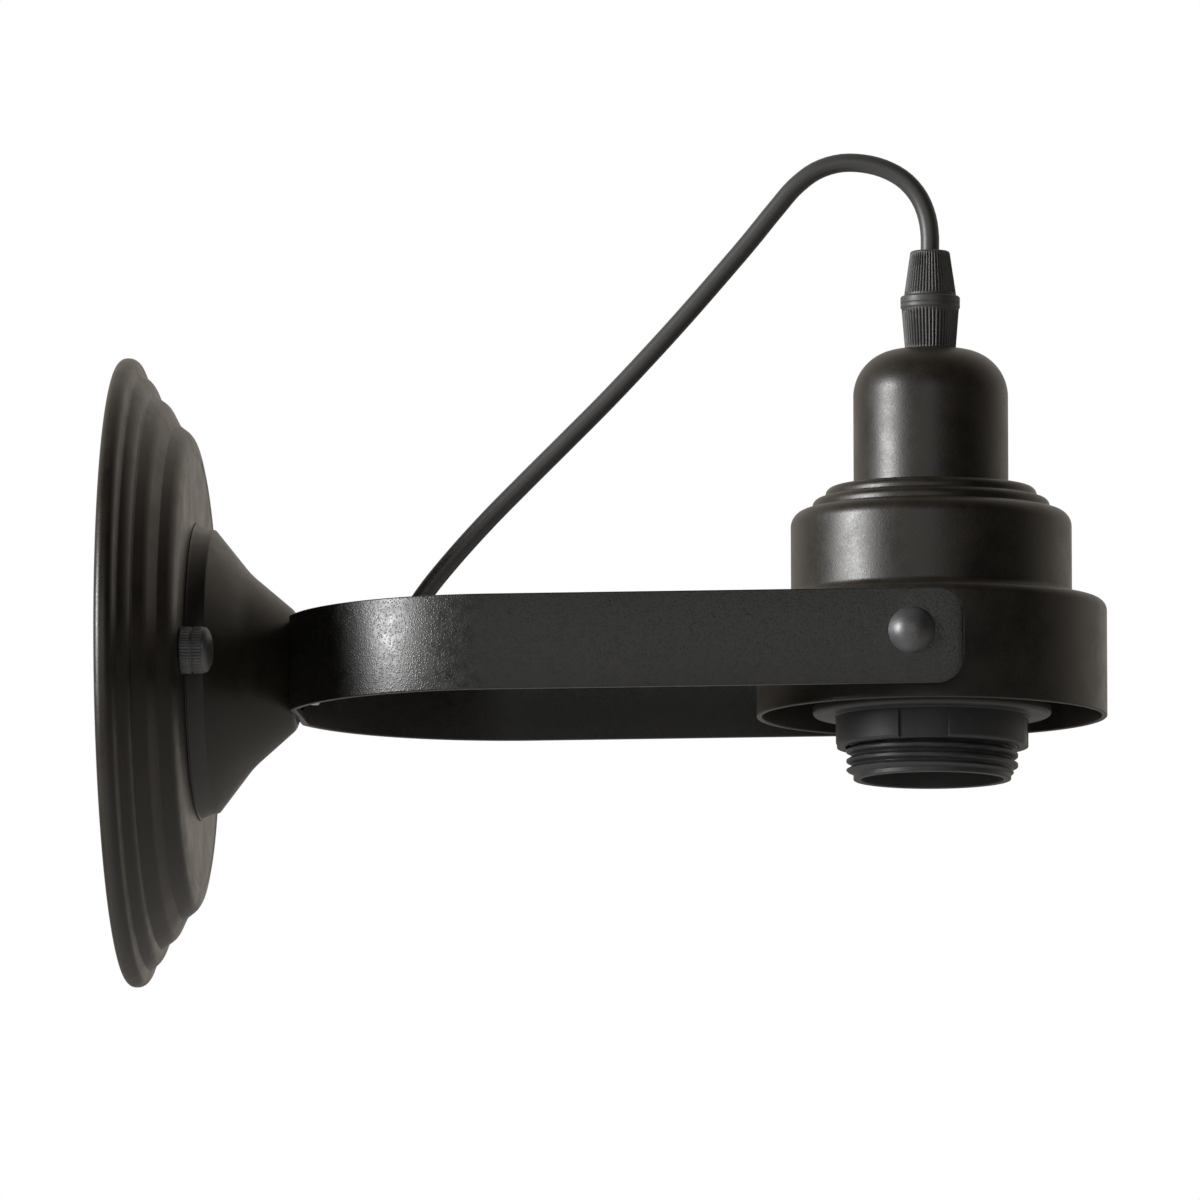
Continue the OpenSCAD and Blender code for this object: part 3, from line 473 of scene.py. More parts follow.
# grain: scale of the fine grain, scale of the round bumps and their share; depth of both in mm
finishes = {
    "satinEnamel": {
        "slot": "satin_black", "base": "#16120d", "cloud": "#211c15", "cloudScale": 120,
        "roughness": (0.37, 0.47), "grain": (2600, 1300, 0.5), "depth": 0.016,
        "worn": "#5a564f", "wear": 0.25, "dust": 0.035},
    "hammeredEnamel": {
        "slot": "hammered_black", "base": "#0f0f0e", "cloud": "#191917", "cloudScale": 420,
        "roughness": (0.31, 0.43), "grain": (3400, 2000, 0.92), "depth": 0.03, "specular": 0.46,
        "worn": "#66645e", "wear": 0.2},
    "darkSteel": {
        "slot": "dark_metal", "base": "#4e4e50", "cloud": "#5a5a5b", "cloudScale": 160,
        "roughness": (0.4, 0.5), "grain": (3200, 1400, 0.3), "depth": 0.008, "metallic": 0.55,
        "worn": "#8a8884"},
    "zincSteel": {
        "slot": "zinc_steel", "base": "#8d9094", "cloud": "#a7a9ab", "cloudScale": 140,
        "roughness": (0.28, 0.44), "grain": (3000, 1200, 0.2), "depth": 0.008, "metallic": 1,
        "worn": "#c8c9ca"},
    "brass": {
        "slot": "brass", "base": "#a8854a", "cloud": "#c09a58", "cloudScale": 180,
        "roughness": (0.24, 0.38), "grain": (3000, 1200, 0.2), "depth": 0.006, "metallic": 1,
        "worn": "#dcc58e", "dust": 0.02},
    "shellAluminium": {
        "slot": "shell_aluminium", "base": "#a9abae", "cloud": "#c2c4c6", "cloudScale": 150,
        "roughness": (0.26, 0.4), "grain": (2800, 1000, 0.2), "depth": 0.006, "metallic": 1,
        "worn": "#dddddd", "wear": 0.2, "dust": 0.0},
    "palePlastic": {
        "slot": "pale_plastic", "base": "#cdc8ba", "cloud": "#d8d3c6", "cloudScale": 70,
        "roughness": (0.4, 0.52), "grain": (2200, 900, 0.4), "depth": 0.01,
        "worn": "#e6e2d8", "wear": 0.1, "dust": 0.02},
    "gripPlastic": {
        "slot": "grip_plastic", "base": "#383837", "cloud": "#424240", "cloudScale": 150,
        "roughness": (0.46, 0.58), "grain": (900, 400, 0.3), "depth": 0.002, "specular": 0.46,
        "worn": "#565552", "wear": 0.12},
    "holderPlastic": {
        "slot": "holder_plastic", "base": "#2b2c2e", "cloud": "#343537", "cloudScale": 80,
        "roughness": (0.45, 0.54), "grain": (1800, 500, 0.6), "depth": 0.01, "specular": 0.46,
        "worn": "#72706c", "wear": 0.15, "dust": 0.02},
    "leadSheath": {
        "slot": "lead_sheath", "base": "#363636", "cloud": "#3a3a39", "cloudScale": 12,
        "roughness": (0.44, 0.47), "grain": (120, 60, 0.5), "depth": 0.002,
        "worn": "#3c3b39", "wear": 0.0, "dust": 0.0},
    "coreInsulation": {
        "slot": "core_insulation", "base": "#5d3a22", "cloud": "#6b452b", "cloudScale": 140,
        "roughness": (0.38, 0.5), "grain": (2400, 900, 0.3), "depth": 0.008,
        "worn": "#8a6a50", "wear": 0.1, "dust": 0.0},
}


def newMaterial(name):
    material = bpy.data.materials.new(name)
    material.use_nodes = True
    return material, material.node_tree, material.node_tree.nodes["Principled BSDF"]


def addMaterial(name, own):
    look = {**plainFinish, **own}
    material, tree, shader = newMaterial(name)
    roughLow, roughHigh = look["roughness"]
    grainScale, peelScale, peelShare = look["grain"]
    mottle = placeGroup(tree, "mottle", {
        "Base": colour(look["base"]), "Cloud": colour(look["cloud"]), "Cloud Scale": look["cloudScale"],
        "Roughness Low": roughLow, "Roughness High": roughHigh})
    # the edges painted lighter in patches: rubbed wear, and a painted edge highlight
    wear = placeGroup(tree, "edgeWearAndSheen", {
        "Colour": mottle["Colour"], "Worn": colour(look["worn"]), "Amount": look["wear"]})
    film = placeGroup(tree, "dust", {
        "Colour": wear["Colour"], "Dust": colour(dustColour), "Amount": look["dust"]})
    grain = placeGroup(tree, "grain", {
        "Grain Scale": grainScale, "Peel Scale": peelScale, "Peel Share": peelShare})
    bump = addNode(tree, "Bump", {"Height": grain["Height"], "Strength": 1.0, "Distance": look["depth"] * mm})
    feed(tree, shader, {
        "Base Color": film["Colour"], "Roughness": mottle["Roughness"], "Normal": bump.outputs["Normal"],
        "Metallic": look["metallic"], "Specular IOR Level": look["specular"]})
    return material


materials = {name: addMaterial(name, look) for name, look in finishes.items()}
print("materials made:", len(materials))


# the lead, which comes first because its room is checked against the view

lead = {
    "diameter": 4.3,
    "spacing": 1.6,       # between the tube's rings
    "sides": 24,
    "blendStart": (46.8, 0),
    "blendEnd": (186.4, 94),
    # from the bush up behind the strap, over the arm and down into the clamping nut: x and z, at y = 0
    "route": [(46.8, 0), (49, 0), (53.5, 0.9), (58, 3.2), (62, 7), (66, 12.5), (70.5, 18.8), (76, 25.4),
              (84, 34.1), (93, 43.1), (102.5, 52.4), (112, 61.8), (121, 71.2), (129.5, 80.4), (138, 90),
              (145, 98.1), (151, 105.4), (155.5, 110.5), (160.3, 114), (165.5, 115.6), (171, 115.5),
              (176.4, 114), (180.8, 111.3), (184, 107.4), (185.8, 102.8), (186.4, 98.5), (186.4, 94.9)],
}


def smoothRoute(corners, spacing, fineSteps=32):
    # a smooth curve through the corners, then places at even steps along it, and its length
    points = [Vector(p) for p in corners]
    steps = [(b - a).length for a, b in zip(points, points[1:])]
    slopes = [(points[1] - points[0]) / steps[0]]
    for i in range(1, len(points) - 1):
        before, after = steps[i - 1], steps[i]
        arriving = (points[i] - points[i - 1]) / before * after
        leaving = (points[i + 1] - points[i]) / after * before
        slopes.append((arriving + leaving) / (before + after))
    slopes.append((points[-1] - points[-2]) / steps[-1])
    fine = []
    for i, step in enumerate(steps):
        for k in range(fineSteps):
            t = k / fineSteps
            fine.append((2 * t**3 - 3 * t**2 + 1) * points[i] + (t**3 - 2 * t**2 + t) * step * slopes[i]
                        + (3 * t**2 - 2 * t**3) * points[i + 1] + (t**3 - t**2) * step * slopes[i + 1])
    fine.append(points[-1])
    along = [0.0]
    for a, b in zip(fine, fine[1:]):
        along.append(along[-1] + (b - a).length)
    count = max(2, round(along[-1] / spacing))
    even, i = [], 0
    for k in range(count + 1):
        wanted = along[-1] * k / count
        while i < len(along) - 2 and along[i + 1] < wanted:
            i += 1
        share = (wanted - along[i]) / (along[i + 1] - along[i])
        even.append(fine[i].lerp(fine[i + 1], min(1, share)))
    return even, along[-1]


def directionAt(line, i):
    return (line[min(i + 1, len(line) - 1)] - line[max(i - 1, 0)]).normalized()


def tubeGrid(centres, radius, sides, across):
    points = []
    for i, centre in enumerate(centres):
        heading = directionAt(centres, i)
        side = heading.cross(across).normalized()
        rise = side.cross(heading)
        for angle in evenAngles(sides):
            points.append(centre + (side * math.cos(angle) + rise * math.sin(angle)) * radius)
    return points, barFaces(points, sides)


def addSupplyLead(size):
    corners = [(x, 0, z) for x, z in size["route"]]
    centres, length = smoothRoute(corners, size["spacing"])
    grid = tubeGrid(centres, size["diameter"] / 2, size["sides"], Vector((0, 1, 0)))
    piece = addPiece("supplyLead", *grid)
    piece.data.materials.append(materials["leadSheath"])
    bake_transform(piece)
    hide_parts("supply_lead")


addSupplyLead(lead)
print("supply lead laid")


# wall plate: a lip, three bulging rings and a flat centre with a groove round it

plate = {
    "wall": 1.2, "lipRadius": 72.4, "lipHeight": 3.9, "lipRound": 2.4, "lipRoll": 2.2,
    "creases": [(68.4, 5.0), (63.7, 7.9), (57.0, 13.1), (50.6, 17.2)],
    "creaseRound": 0.8,
    "crowns": [(0.5, 1.4), (0.42, 1.0), (0.5, 1.4)],   # each ring's highest place and its bulge
    "crownRound": 5.0,
    "grooveWidth": 2.0, "grooveDepth": 0.15,
    "edge": 0.3, "studHole": 2.15, "steps": 288,
}


def platePath(size):
    # the lip is rolled in a little towards the wall
    path = [(size["lipRadius"] - size["lipRoll"], 0, 0), (size["lipRadius"], 0, size["lipRoll"]),
            (size["lipRadius"], size["lipHeight"], size["lipRound"])]
    creases = size["creases"]
    for i, (r, x) in enumerate(creases):
        path.append((r, x, size["creaseRound"]))
        if i < len(creases) - 1:
            a, b = Vector((r, x)), Vector(creases[i + 1])
            along = (b - a).normalized()
            share, bulge = size["crowns"][i]
            top = a.lerp(b, share) - Vector((-along.y, along.x)) * bulge
            path.append((top.x, top.y, size["crownRound"]))
    discRadius, groove, rounding = creases[-1][0], size["grooveWidth"], size["creaseRound"] / 2
    path.append((discRadius - groove / 2, plateDepth - size["grooveDepth"], rounding))
    path.append((discRadius - groove, plateDepth, rounding))
    path.append((tubeHole, plateDepth, 0))
    return path


def addWallPlate(size):
    loop = shellLoop(platePath(size), size["wall"], size["edge"])
    piece = addPiece("wallPlate", *placed(turnedGrid(loop, evenAngles(size["steps"])), alongX(0)))
    places = [alongX(plateDepth, side * studPitch / 2) for side in (-1, 1)]
    drill(piece, [borer(size["studHole"], plateDepth, place) for place in places])
    dress(piece, "satinEnamel", "wall_plate")


addWallPlate(plate)
print("wall plate spun")


# hub: a trumpet with a straight rim that runs out into a thin sloped foot

hub = {
    "wall": 1.5, "footRadius": 32.6, "rimHeight": 4.3, "rimRound": 1.1,
    "flareRadius": 22.3, "flareHeight": 12.4, "flareRound": 21, "tipRadius": 13.3, "tipRound": 3.4,
    "edge": 0.3, "steps": 192,
    "foot": [(1.7, 0, 0.1), (1.7, 0.35, 0.15), (1.15, 0.45, 0.3), (0.15, 3, 6)],   # out from the rim, and up
}


def addHubCone(size):
    length = hubTip - plateDepth
    path = [(size["footRadius"], 0, 0), (size["footRadius"], size["rimHeight"], size["rimRound"]),
            (size["flareRadius"], size["flareHeight"], size["flareRound"]),
            (size["tipRadius"], length, size["tipRound"]), (tubeHole, length, 0)]
    inner = insetPath(path, size["wall"])
    path[0:1] = [(size["footRadius"] + out, up, rounding) for out, up, rounding in size["foot"]]
    inner[0] = (inner[0][0], inner[0][1], size["edge"])
    loop = roundCorners(path + inner[::-1], closed=True)
    grid = placed(turnedGrid(loop, evenAngles(size["steps"])), alongX(plateDepth))
    dress(addPiece("hubCone", *grid), "satinEnamel", "hub_cone")


addHubCone(hub)
print("hub spun")


# canopy nuts: a barrel with two bands of fine straight knurl, and a domed end

canopyNut = {
    "radius": 5.4, "barrel": 5.3, "chamfer": 0.4, "grooveWidth": 0.5, "grooveDepth": 0.35,
    "crownRound": 4, "shoulderRound": 2.6, "shoulderHeight": 6.4, "shoulderStep": 0.12,
    "teeth": 44, "stepsPerTooth": 8, "toothDepth": 0.16, "bore": 2.05, "boreDepth": 5.9,
}


def knurlDepth(angle, teeth, depth):
    # how far a straight knurl is cut in at an angle: sharp grooves between flat-topped teeth
    share = (angle * teeth / (2 * math.pi)) % 1
    return depth * max(0, 1 - abs(share - 0.5) * 4)


def addCanopyNuts(size):
    top = high("canopy_nuts").x - plateDepth
    r, barrel, step = size["radius"], size["barrel"], size["shoulderStep"]
    cut, cutFoot, cutTop = r - size["grooveDepth"], barrel / 2, barrel / 2 + size["grooveWidth"]
    outline = roundCorners([
        (size["bore"], size["boreDepth"], 0), (size["bore"], 0, 0.1), (r - size["chamfer"], 0, 0.15),
        (r, size["chamfer"], 0.15), (r, cutFoot, 0.08), (cut, cutFoot, 0.08), (cut, cutTop, 0.08),
        (r, cutTop, 0.08), (r, barrel, 0.05), (r - step, barrel + step, 0.05),
        (r - step, size["shoulderHeight"], size["shoulderRound"]),
        (r / 2, top, size["crownRound"]), (0, top, 0)])
    outline.insert(0, Vector((0, size["boreDepth"])))

    def knurled(angle, radius, height):
        onBarrel = radius > r - 0.02 and size["chamfer"] < height < barrel
        return radius - knurlDepth(angle, size["teeth"], size["toothDepth"]) if onBarrel else radius

    angles = evenAngles(size["teeth"] * size["stepsPerTooth"])
    nut = turnedGrid(outline, angles, closed=False, ripple=knurled)
    grids = [placed(nut, alongX(plateDepth, side * studPitch / 2)) for side in (-1, 1)]
    addDressed("canopyNuts", grids, "darkSteel", "canopy_nuts", sharp=30)


addCanopyNuts(canopyNut)
print("canopy nuts knurled")


# arm: one flat strap bent to a U, its cut edges broken by a small rounding

strap = {
    "thickness": 1.5, "cornerRadius": 6.5, "flatHalf": 14.8, "edge": 0.32, "bendRound": 5, "pivotHole": 2.58,
    "bendSteps": 56, "cornerSteps": 18, "edgeSteps": 4, "roundSteps": 4,
    "rings": (0.14, 0.3, 0.45, 0.6, 0.75, 0.9),   # along the straight arm, as shares from its free end
}


def easedIn(length, steps):
    # distances from an end, close together at the end itself
    return [length * (1 - math.cos(math.pi / 2 * k / steps)) for k in range(steps + 1)]


def strapLine(size):
    # the outer face seen from above, from one free end round the hub to the other
    armHalf = high("arm_strap").y
    endX, hubX = high("arm_strap").x, low("arm_strap").x
    bendX = hubX + math.sqrt(armHalf**2 - size["flatHalf"] ** 2)
    sweep = math.acos(size["flatHalf"] / armHalf)
    turns = [sweep * k / size["bendSteps"] for k in range(size["bendSteps"] + 1)]
    half = [(bendX - armHalf * math.sin(turn), -armHalf * math.cos(turn), 0) for turn in turns]
    half[-1] = (hubX, -size["flatHalf"], size["bendRound"])
    line = roundCorners(half + [(x, -y, r) for x, y, r in half[::-1]])
    corner = easedIn(size["cornerRadius"], size["cornerSteps"])
    edge = easedIn(size["edge"], size["edgeSteps"])
    runs = sorted(corner + edge[1:-1]) + [(endX - bendX) * share for share in size["rings"]]
    start = [Vector((endX - run, -armHalf)) for run in runs]
    return start + line + [Vector((p.x, -p.y)) for p in start[::-1]]


def strapRing(place, outward, halfHeight, size, inset):
    # a rounded rectangle across the strap, drawn in by inset on every side
    half, tall = size["thickness"] / 2 - inset, halfHeight - inset
    edge = max(0.02, min(size["edge"] - inset * 0.9, half * 0.95))
    middle = place - outward * size["thickness"] / 2
    ring = []
    for sideOut, sideUp, first in ((1, 1, 0), (-1, 1, 90), (-1, -1, 180), (1, -1, 270)):
        for k in range(size["roundSteps"] + 1):
            angle = math.radians(first + 90 * k / size["roundSteps"])
            out = sideOut * (half - edge) + edge * math.cos(angle)
            up = sideUp * (tall - edge) + edge * math.sin(angle)
            ring.append(Vector((middle.x + outward.x * out, middle.y + outward.y * out, up)))
    return ring


def fallBack(radius, run):
    # how far a rounding lies behind its corner at a run from the end
    return radius - math.sqrt(max(0, radius**2 - max(0, radius - run) ** 2))


def addArmStrap(size):
    line = strapLine(size)
    endX, halfHeight = high("arm_strap").x, high("arm_strap").z
    points = []
    for i, place in enumerate(line):
        ahead = directionAt(line, i)
        outward = Vector((ahead.y, -ahead.x))
        drop = fallBack(size["cornerRadius"], endX - place.x)
        inset = fallBack(size["edge"], endX - place.x)
        points += strapRing(place, outward, halfHeight - drop, size, inset)
    piece = addPiece("armStrap", points, barFaces(points, 4 * (size["roundSteps"] + 1)))
    drill(piece, [borer(tubeHole, 4 * size["thickness"], alongX(low("arm_strap").x)),
                  borer(size["pivotHole"], 4 * high("arm_strap").y, atPivot(1, 0))])
    dress(piece, "hammeredEnamel", "arm_strap")


addArmStrap(strap)
print("strap bent")


# lamp cap: an open drum, a waist, two beads and a dome, spun from one sheet

cap = {
    "wall": 1.2, "edge": 0.35, "steps": 256, "pivotHole": 2.6,
    "drumRadius": 40.3, "drumHeight": 27, "drumRound": 2.6,
    "waistRadius": 32.3, "waistHeight": 20.7, "waistRound": 3.8,
    "lowerBead": (27.3, 2.7), "upperBead": (24.3, 2.6), "beadRound": 1.8,
    "domeRadius": 17.8, "domeRound": 10.9, "waistFoot": 2.1, "stepRound": 0.5,
}


def capPath(size):
    path = [(size["drumRadius"], 0, 0), (size["drumRadius"], size["drumHeight"], size["drumRound"])]
    height = size["drumHeight"]
    steps = [((size["waistRadius"], size["waistHeight"]), size["waistFoot"], size["waistRound"])]
    steps += [(bead, size["stepRound"], size["beadRound"]) for bead in (size["lowerBead"], size["upperBead"])]
    for (radius, rise), footRound, rounding in steps:
        path.append((radius, height, footRound))
        height += rise
        path.append((radius, height, rounding))
    top = capTop - rimHeight
    path += [(size["domeRadius"], height, size["stepRound"]), (size["domeRadius"], top, size["domeRound"]),
             (tubeHole, top, 0)]
    return path


def addLampCap(size):
    loop = shellLoop(capPath(size), size["wall"], size["edge"])
    piece = addPiece("lampCap", *placed(turnedGrid(loop, evenAngles(size["steps"])), atHead(rimHeight)))
    drill(piece, [borer(size["pivotHole"], 4 * size["drumRadius"], atPivot(1, 0))])
    dress(piece, "satinEnamel", "lamp_cap")


addLampCap(cap)
print("lamp cap spun")


# pivot screws with domed heads

pivotScrew = {
    "headRadius": 6, "headHeight": 4.6, "rim": 0.25, "shank": 2.5, "tip": 0.5, "pastNut": 0.9,
    "domeSteps": 28, "steps": 96,
}


def addPivotScrews(size):
    headFoot, shank = high("pivot_screws").y - size["headHeight"], size["shank"]
    end = high("pivot_nuts").y - pivotNutHeight - size["pastNut"] - headFoot
    ball = (size["headRadius"] ** 2 + size["headHeight"] ** 2) / (2 * size["headHeight"])
    sweep = math.asin(size["headRadius"] / ball)
    corners = [(0, end), (shank - size["tip"], end), (shank, end + size["tip"]), (shank, 0),
               (size["headRadius"] - size["rim"], 0)]
    for k in range(1, size["domeSteps"] + 1):
        turn = sweep * (1 - k / size["domeSteps"])
        corners.append((ball * math.sin(turn), size["headHeight"] - ball + ball * math.cos(turn)))
    screw = turnedGrid([Vector(p) for p in corners], evenAngles(size["steps"]), closed=False)
    grids = [placed(screw, atPivot(side, headFoot)) for side in (-1, 1)]
    addDressed("pivotScrews", grids, "darkSteel", "pivot_screws")


addPivotScrews(pivotScrew)
print("pivot screws turned")


# cord grip: a fluted foot with a flange, and a fluted clamping nut on it

grip = {
    "flutes": 48, "stepsPerFlute": 8, "fluteDepth": 0.42, "rowSpacing": 0.35,
    "footRadius": 5.85, "topRadius": 6.6, "coneHeight": 9.8, "flangeRadius": 6.85, "flangeHeight": 2.6,
    "footBevel": 0.2, "chamfer": 0.3, "neckDrop": 0.35, "flangeDrop": 0.2, "seamHeight": 0.9, "seam": 0.15,
    "tubeBore": 5.0, "innerBore": 3.6, "boreDrop": 1.2, "tubeDrop": 1.4,
    "ribRows": (0.2, 0.3), "ribEnds": (0.25, 0.55), "fadeRuns": (0.5, 0.4),   # from the foot, from the end
}

clamp = {
    "flutes": 48, "stepsPerFlute": 8, "fluteDepth": 0.336, "rowSpacing": 0.35,
    "footRadius": 5.95, "topRadius": 4.5, "height": 10.5, "bore": 2.2, "topRound": 0.6,
    "ribRows": (0.5, 0.3), "ribEnds": (0.5, 0.5), "fadeRuns": (0.4, 0.5),
}


def addFluted(name, outline, size, least, end, place, node):
    # rounded ribs with narrow grooves between them, on what is wider than least
    (foot, top), (footRun, topRun) = size["ribEnds"], size["fadeRuns"]
    least, first, last = least - 0.05, size["ribRows"][0], end - size["ribRows"][1]

    def fluted(angle, radius, height):
        if radius <= least or height >= last:
            return radius
        depth = size["fluteDepth"] * (1 - abs(math.sin(angle * size["flutes"] / 2)))
        return radius - depth * fadeIn(height, foot, footRun, end - top, topRun)

    # more rows along the ribs, so that they fade in and out over a short way
    outline = refine(outline, size["rowSpacing"], lambda p: p.x > least and first < p.y < last)
    grid = turnedGrid(outline, evenAngles(size["flutes"] * size["stepsPerFlute"]), ripple=fluted)
    addDressed(name, [placed(grid, place)], "gripPlastic", node, sharp=35)


def addCordGrip(size):
    cone, top = size["coneHeight"], size["coneHeight"] + size["flangeHeight"]
    foot, wide, inner = size["footRadius"], size["flangeRadius"], size["innerBore"]
    chamfer, groove, seam = size["chamfer"], size["seam"], cone + size["seamHeight"]
    neck, slope = cone - size["neckDrop"], cone - size["flangeDrop"]
    outline = roundCorners([
        (size["tubeBore"], 0, 0), (foot - size["footBevel"], 0, 0.1), (foot, chamfer, 0.1),
        (size["topRadius"], neck, 0.1), (wide - groove, slope, 0.08), (wide, cone, 0.12),
        (wide, seam - groove, 0.08), (wide - groove, seam, 0.05), (wide, seam + groove, 0.08),
        (wide, top - chamfer, 0.12), (wide - chamfer, top, 0.1),
        (inner, top, 0), (inner, cone - size["boreDrop"], 0),
        (size["tubeBore"], cone - size["tubeDrop"], 0)], closed=True)
    addFluted("cordGrip", outline, size, foot, cone, atHead(capTop), "cord_grip")


def addClampNut(size):
    tall, foot, top, bore = size["height"], size["footRadius"], size["topRadius"], size["bore"]
    outline = roundCorners([
        (bore, 0, 0), (foot - 0.15, 0, 0.08), (foot, 0.2, 0.1), (foot, 0.6, 0.2),
        (top, tall, size["topRound"]), (bore + 0.25, tall, 0.2), (bore, tall - 0.5, 0.2)], closed=True)
    addFluted("clampNut", outline, size, top, tall, atHead(clampTop - tall), "grip_clamp_nut")


addCordGrip(grip)
addClampNut(clamp)
print("cord grip fluted")


# lampholder skirt with its outer thread

skirt = {
    "endRadius": 18.15, "endHeight": 1.1, "crest": 19.75, "root": 18.55, "threadLength": 20.3, "pitch": 2.25,
    "runIn": 1.2, "runOut": 0.8, "pastTop": 0.48, "neckLength": 10.5, "mouthBore": 16.4, "boreRing": 3,
    "bore": 16.25, "stopBore": 14.5, "stopLow": 4.5, "stopHigh": 5.9,
    "edge": 0.3, "innerEdge": 0.2, "rowsPerTurn": 15, "steps": 144,
}


def threadRise(turns):
    # 0 in the groove and 1 on the crest, with round flanks and a flat top
    return min(1, (1 - math.cos(2 * math.pi * turns)) / 2 * 1.25)


def addHolderSkirt(size):
    foot, top = size["endHeight"], size["endHeight"] + size["threadLength"]
    total = top + size["neckLength"]
    wide, crest, mouth, stop = size["endRadius"], size["crest"], size["mouthBore"], size["stopBore"]
    edge, innerEdge = size["edge"], size["innerEdge"]
    outline = roundCorners([(mouth, size["boreRing"], 0), (mouth, 0, edge), (wide, 0, edge), (wide, foot, 0)])
    rows = round(size["threadLength"] / size["pitch"] * size["rowsPerTurn"])
    outline += [Vector((crest, foot + (top - foot) * k / rows)) for k in range(rows + 1)]
    outline += roundCorners([
        (crest, top, 0), (wide, top, innerEdge), (wide, total, edge), (size["bore"], total, edge),
        (size["bore"], size["stopHigh"], innerEdge), (stop, size["stopHigh"], innerEdge),
        (stop, size["stopLow"], innerEdge), (mouth, size["stopLow"], 0)])

    def threaded(angle, radius, height):
        if radius < crest - 0.001:
            return radius
        turns = height / size["pitch"] + angle / (2 * math.pi)
        fade = fadeIn(height, foot, size["runIn"], top + size["pastTop"], size["runOut"])
        bottom = wide + (size["root"] - wide) * fade
        return bottom + (crest - bottom) * threadRise(turns) * fade

    grid = turnedGrid(outline, evenAngles(size["steps"]), ripple=threaded)
    addDressed("holderSkirt", [placed(grid, atHead(mouthHeight))], "holderPlastic", "lampholder_skirt")


addHolderSkirt(skirt)
print("lampholder skirt threaded")


# screw shell: thin sheet with the lamp's thread rolled into it

shell = {
    "innerRadius": 13.4, "rollDepth": 0.5, "wall": 0.5, "lip": 1.6, "length": 20, "pitch": 3.62,
    "runIn": 1.5, "rows": 66, "steps": 120,
}


def addScrewShell(size):
    wall, inside, rows = size["wall"], size["innerRadius"], size["rows"]
    outer, rim = inside + wall, inside + wall + size["lip"]
    heights = [wall + (size["length"] - wall) * k / rows for k in range(rows + 1)]
    outline = [Vector((inside, 0)), Vector((rim, 0)), Vector((rim, wall))]
    outline += [Vector((outer, h)) for h in heights] + [Vector((inside, h)) for h in heights[::-1]]

    def rolled(angle, radius, height):
        if radius > outer + 0.1 or height <= wall:
            return radius
        turns = height / size["pitch"] + angle / (2 * math.pi)
        fade = min(1, (height - wall) / size["runIn"])
        return radius - size["rollDepth"] * fade * (1 - math.cos(2 * math.pi * turns)) / 2

    grid = turnedGrid(outline, evenAngles(size["steps"]), ripple=rolled)
    place = atHead(low("screw_shell").z)
    addDressed("screwShell", [placed(grid, place)], "shellAluminium", "screw_shell")


addScrewShell(shell)
print("screw shell rolled")


# shade ring: a flange on a collar with four finger recesses

ring = {
    "bore": 19.83, "collarRadius": 22.5, "collarHeight": 7.2, "flangeRadius": 27.45, "flangeHeight": 2.7,
    "collarRound": 0.8, "flangeRound": 1.1, "edge": 0.3, "steps": 180,
    "recessDepth": 0.6, "recessAngle": 30, "recessRamp": 0.35, "recessMargin": 0.6, "recessStep": 0.12,
}


def addShadeRing(size):
    collar, tall = size["collarHeight"], size["collarHeight"] + size["flangeHeight"]
    r, wide, bore, edge = size["collarRadius"], size["flangeRadius"], size["bore"], size["edge"]
    ledge, rounding = collar - size["recessMargin"], size["collarRound"]
    outline = roundCorners([
        (bore, 0, edge), (r, 0, rounding), (r, ledge, 0), (r, ledge + size["recessStep"], 0),
        (r, collar, edge), (wide, collar, size["flangeRound"]), (wide, tall, rounding),
        (bore, tall, edge)], closed=True)
    half, ramp = math.radians(size["recessAngle"] / 2), math.radians(size["recessRamp"])
    angles = set(evenAngles(size["steps"]))
    for side in (-half - ramp, -half, -half + ramp, half - ramp, half, half + ramp):
        angles.update((quarter * math.pi / 2 + side) % (2 * math.pi) for quarter in range(4))

    def recessed(angle, radius, height):
        fromMiddle = abs((angle + math.pi / 4) % (math.pi / 2) - math.pi / 4)
        depth = size["recessDepth"] * min(1, max(0, (half + ramp - fromMiddle) / (2 * ramp)))
        onCollar = r - rounding - 0.1 < radius < r + 0.01 and height < ledge + 0.05
        return min(radius, r - depth) if onCollar else radius

    grid = turnedGrid(outline, sorted(angles), ripple=recessed)
    place = atHead(low("shade_ring").z)
    addDressed("shadeRing", [placed(grid, place)], "holderPlastic", "shade_ring", sharp=35)


addShadeRing(ring)
print("shade ring made")


# hexagon nuts with their corners turned off on both faces

tubeNut = {"across": 14, "bore": 4.9}
nuts = {
    "hub_rear_nut": tubeNut, "hub_front_nut": tubeNut, "cap_nut": tubeNut, "holder_neck_nut": tubeNut,
    "pivot_nuts": {"across": 8, "bore": 2.5},
}

nutDetail = {"cornerCut": 0.12, "cutAngle": 30, "boreChamfer": 0.35, "steps": 72}


def nutGrid(across, height, bore, detail):
    flat, mouth = across / 2 - detail["cornerCut"], bore + detail["boreChamfer"]
    slope = math.tan(math.radians(detail["cutAngle"]))
    points = []
    for angle in evenAngles(detail["steps"]):
        corner = across / 2 / math.cos(angle % (math.pi / 3) - math.pi / 6)
        drop = (corner - flat) * slope
        outline = ((mouth, 0), (flat, 0), (corner, drop), (corner, height - drop), (flat, height),
                   (mouth, height), (bore, height - detail["boreChamfer"]), (bore, detail["boreChamfer"]))
        points += [Vector((r * math.cos(angle), r * math.sin(angle), z)) for r, z in outline]
    return points, ringFaces(detail["steps"], len(outline))


def nutPlaces(node):
    if node == "pivot_nuts":
        return [atPivot(side, high(node).y - pivotNutHeight) for side in (-1, 1)]
    return [alongX(low(node).x) if node.startswith("hub") else atHead(low(node).z)]


def camelName(node):
    first, *others = node.split("_")
    return first + "".join(word.capitalize() for word in others)


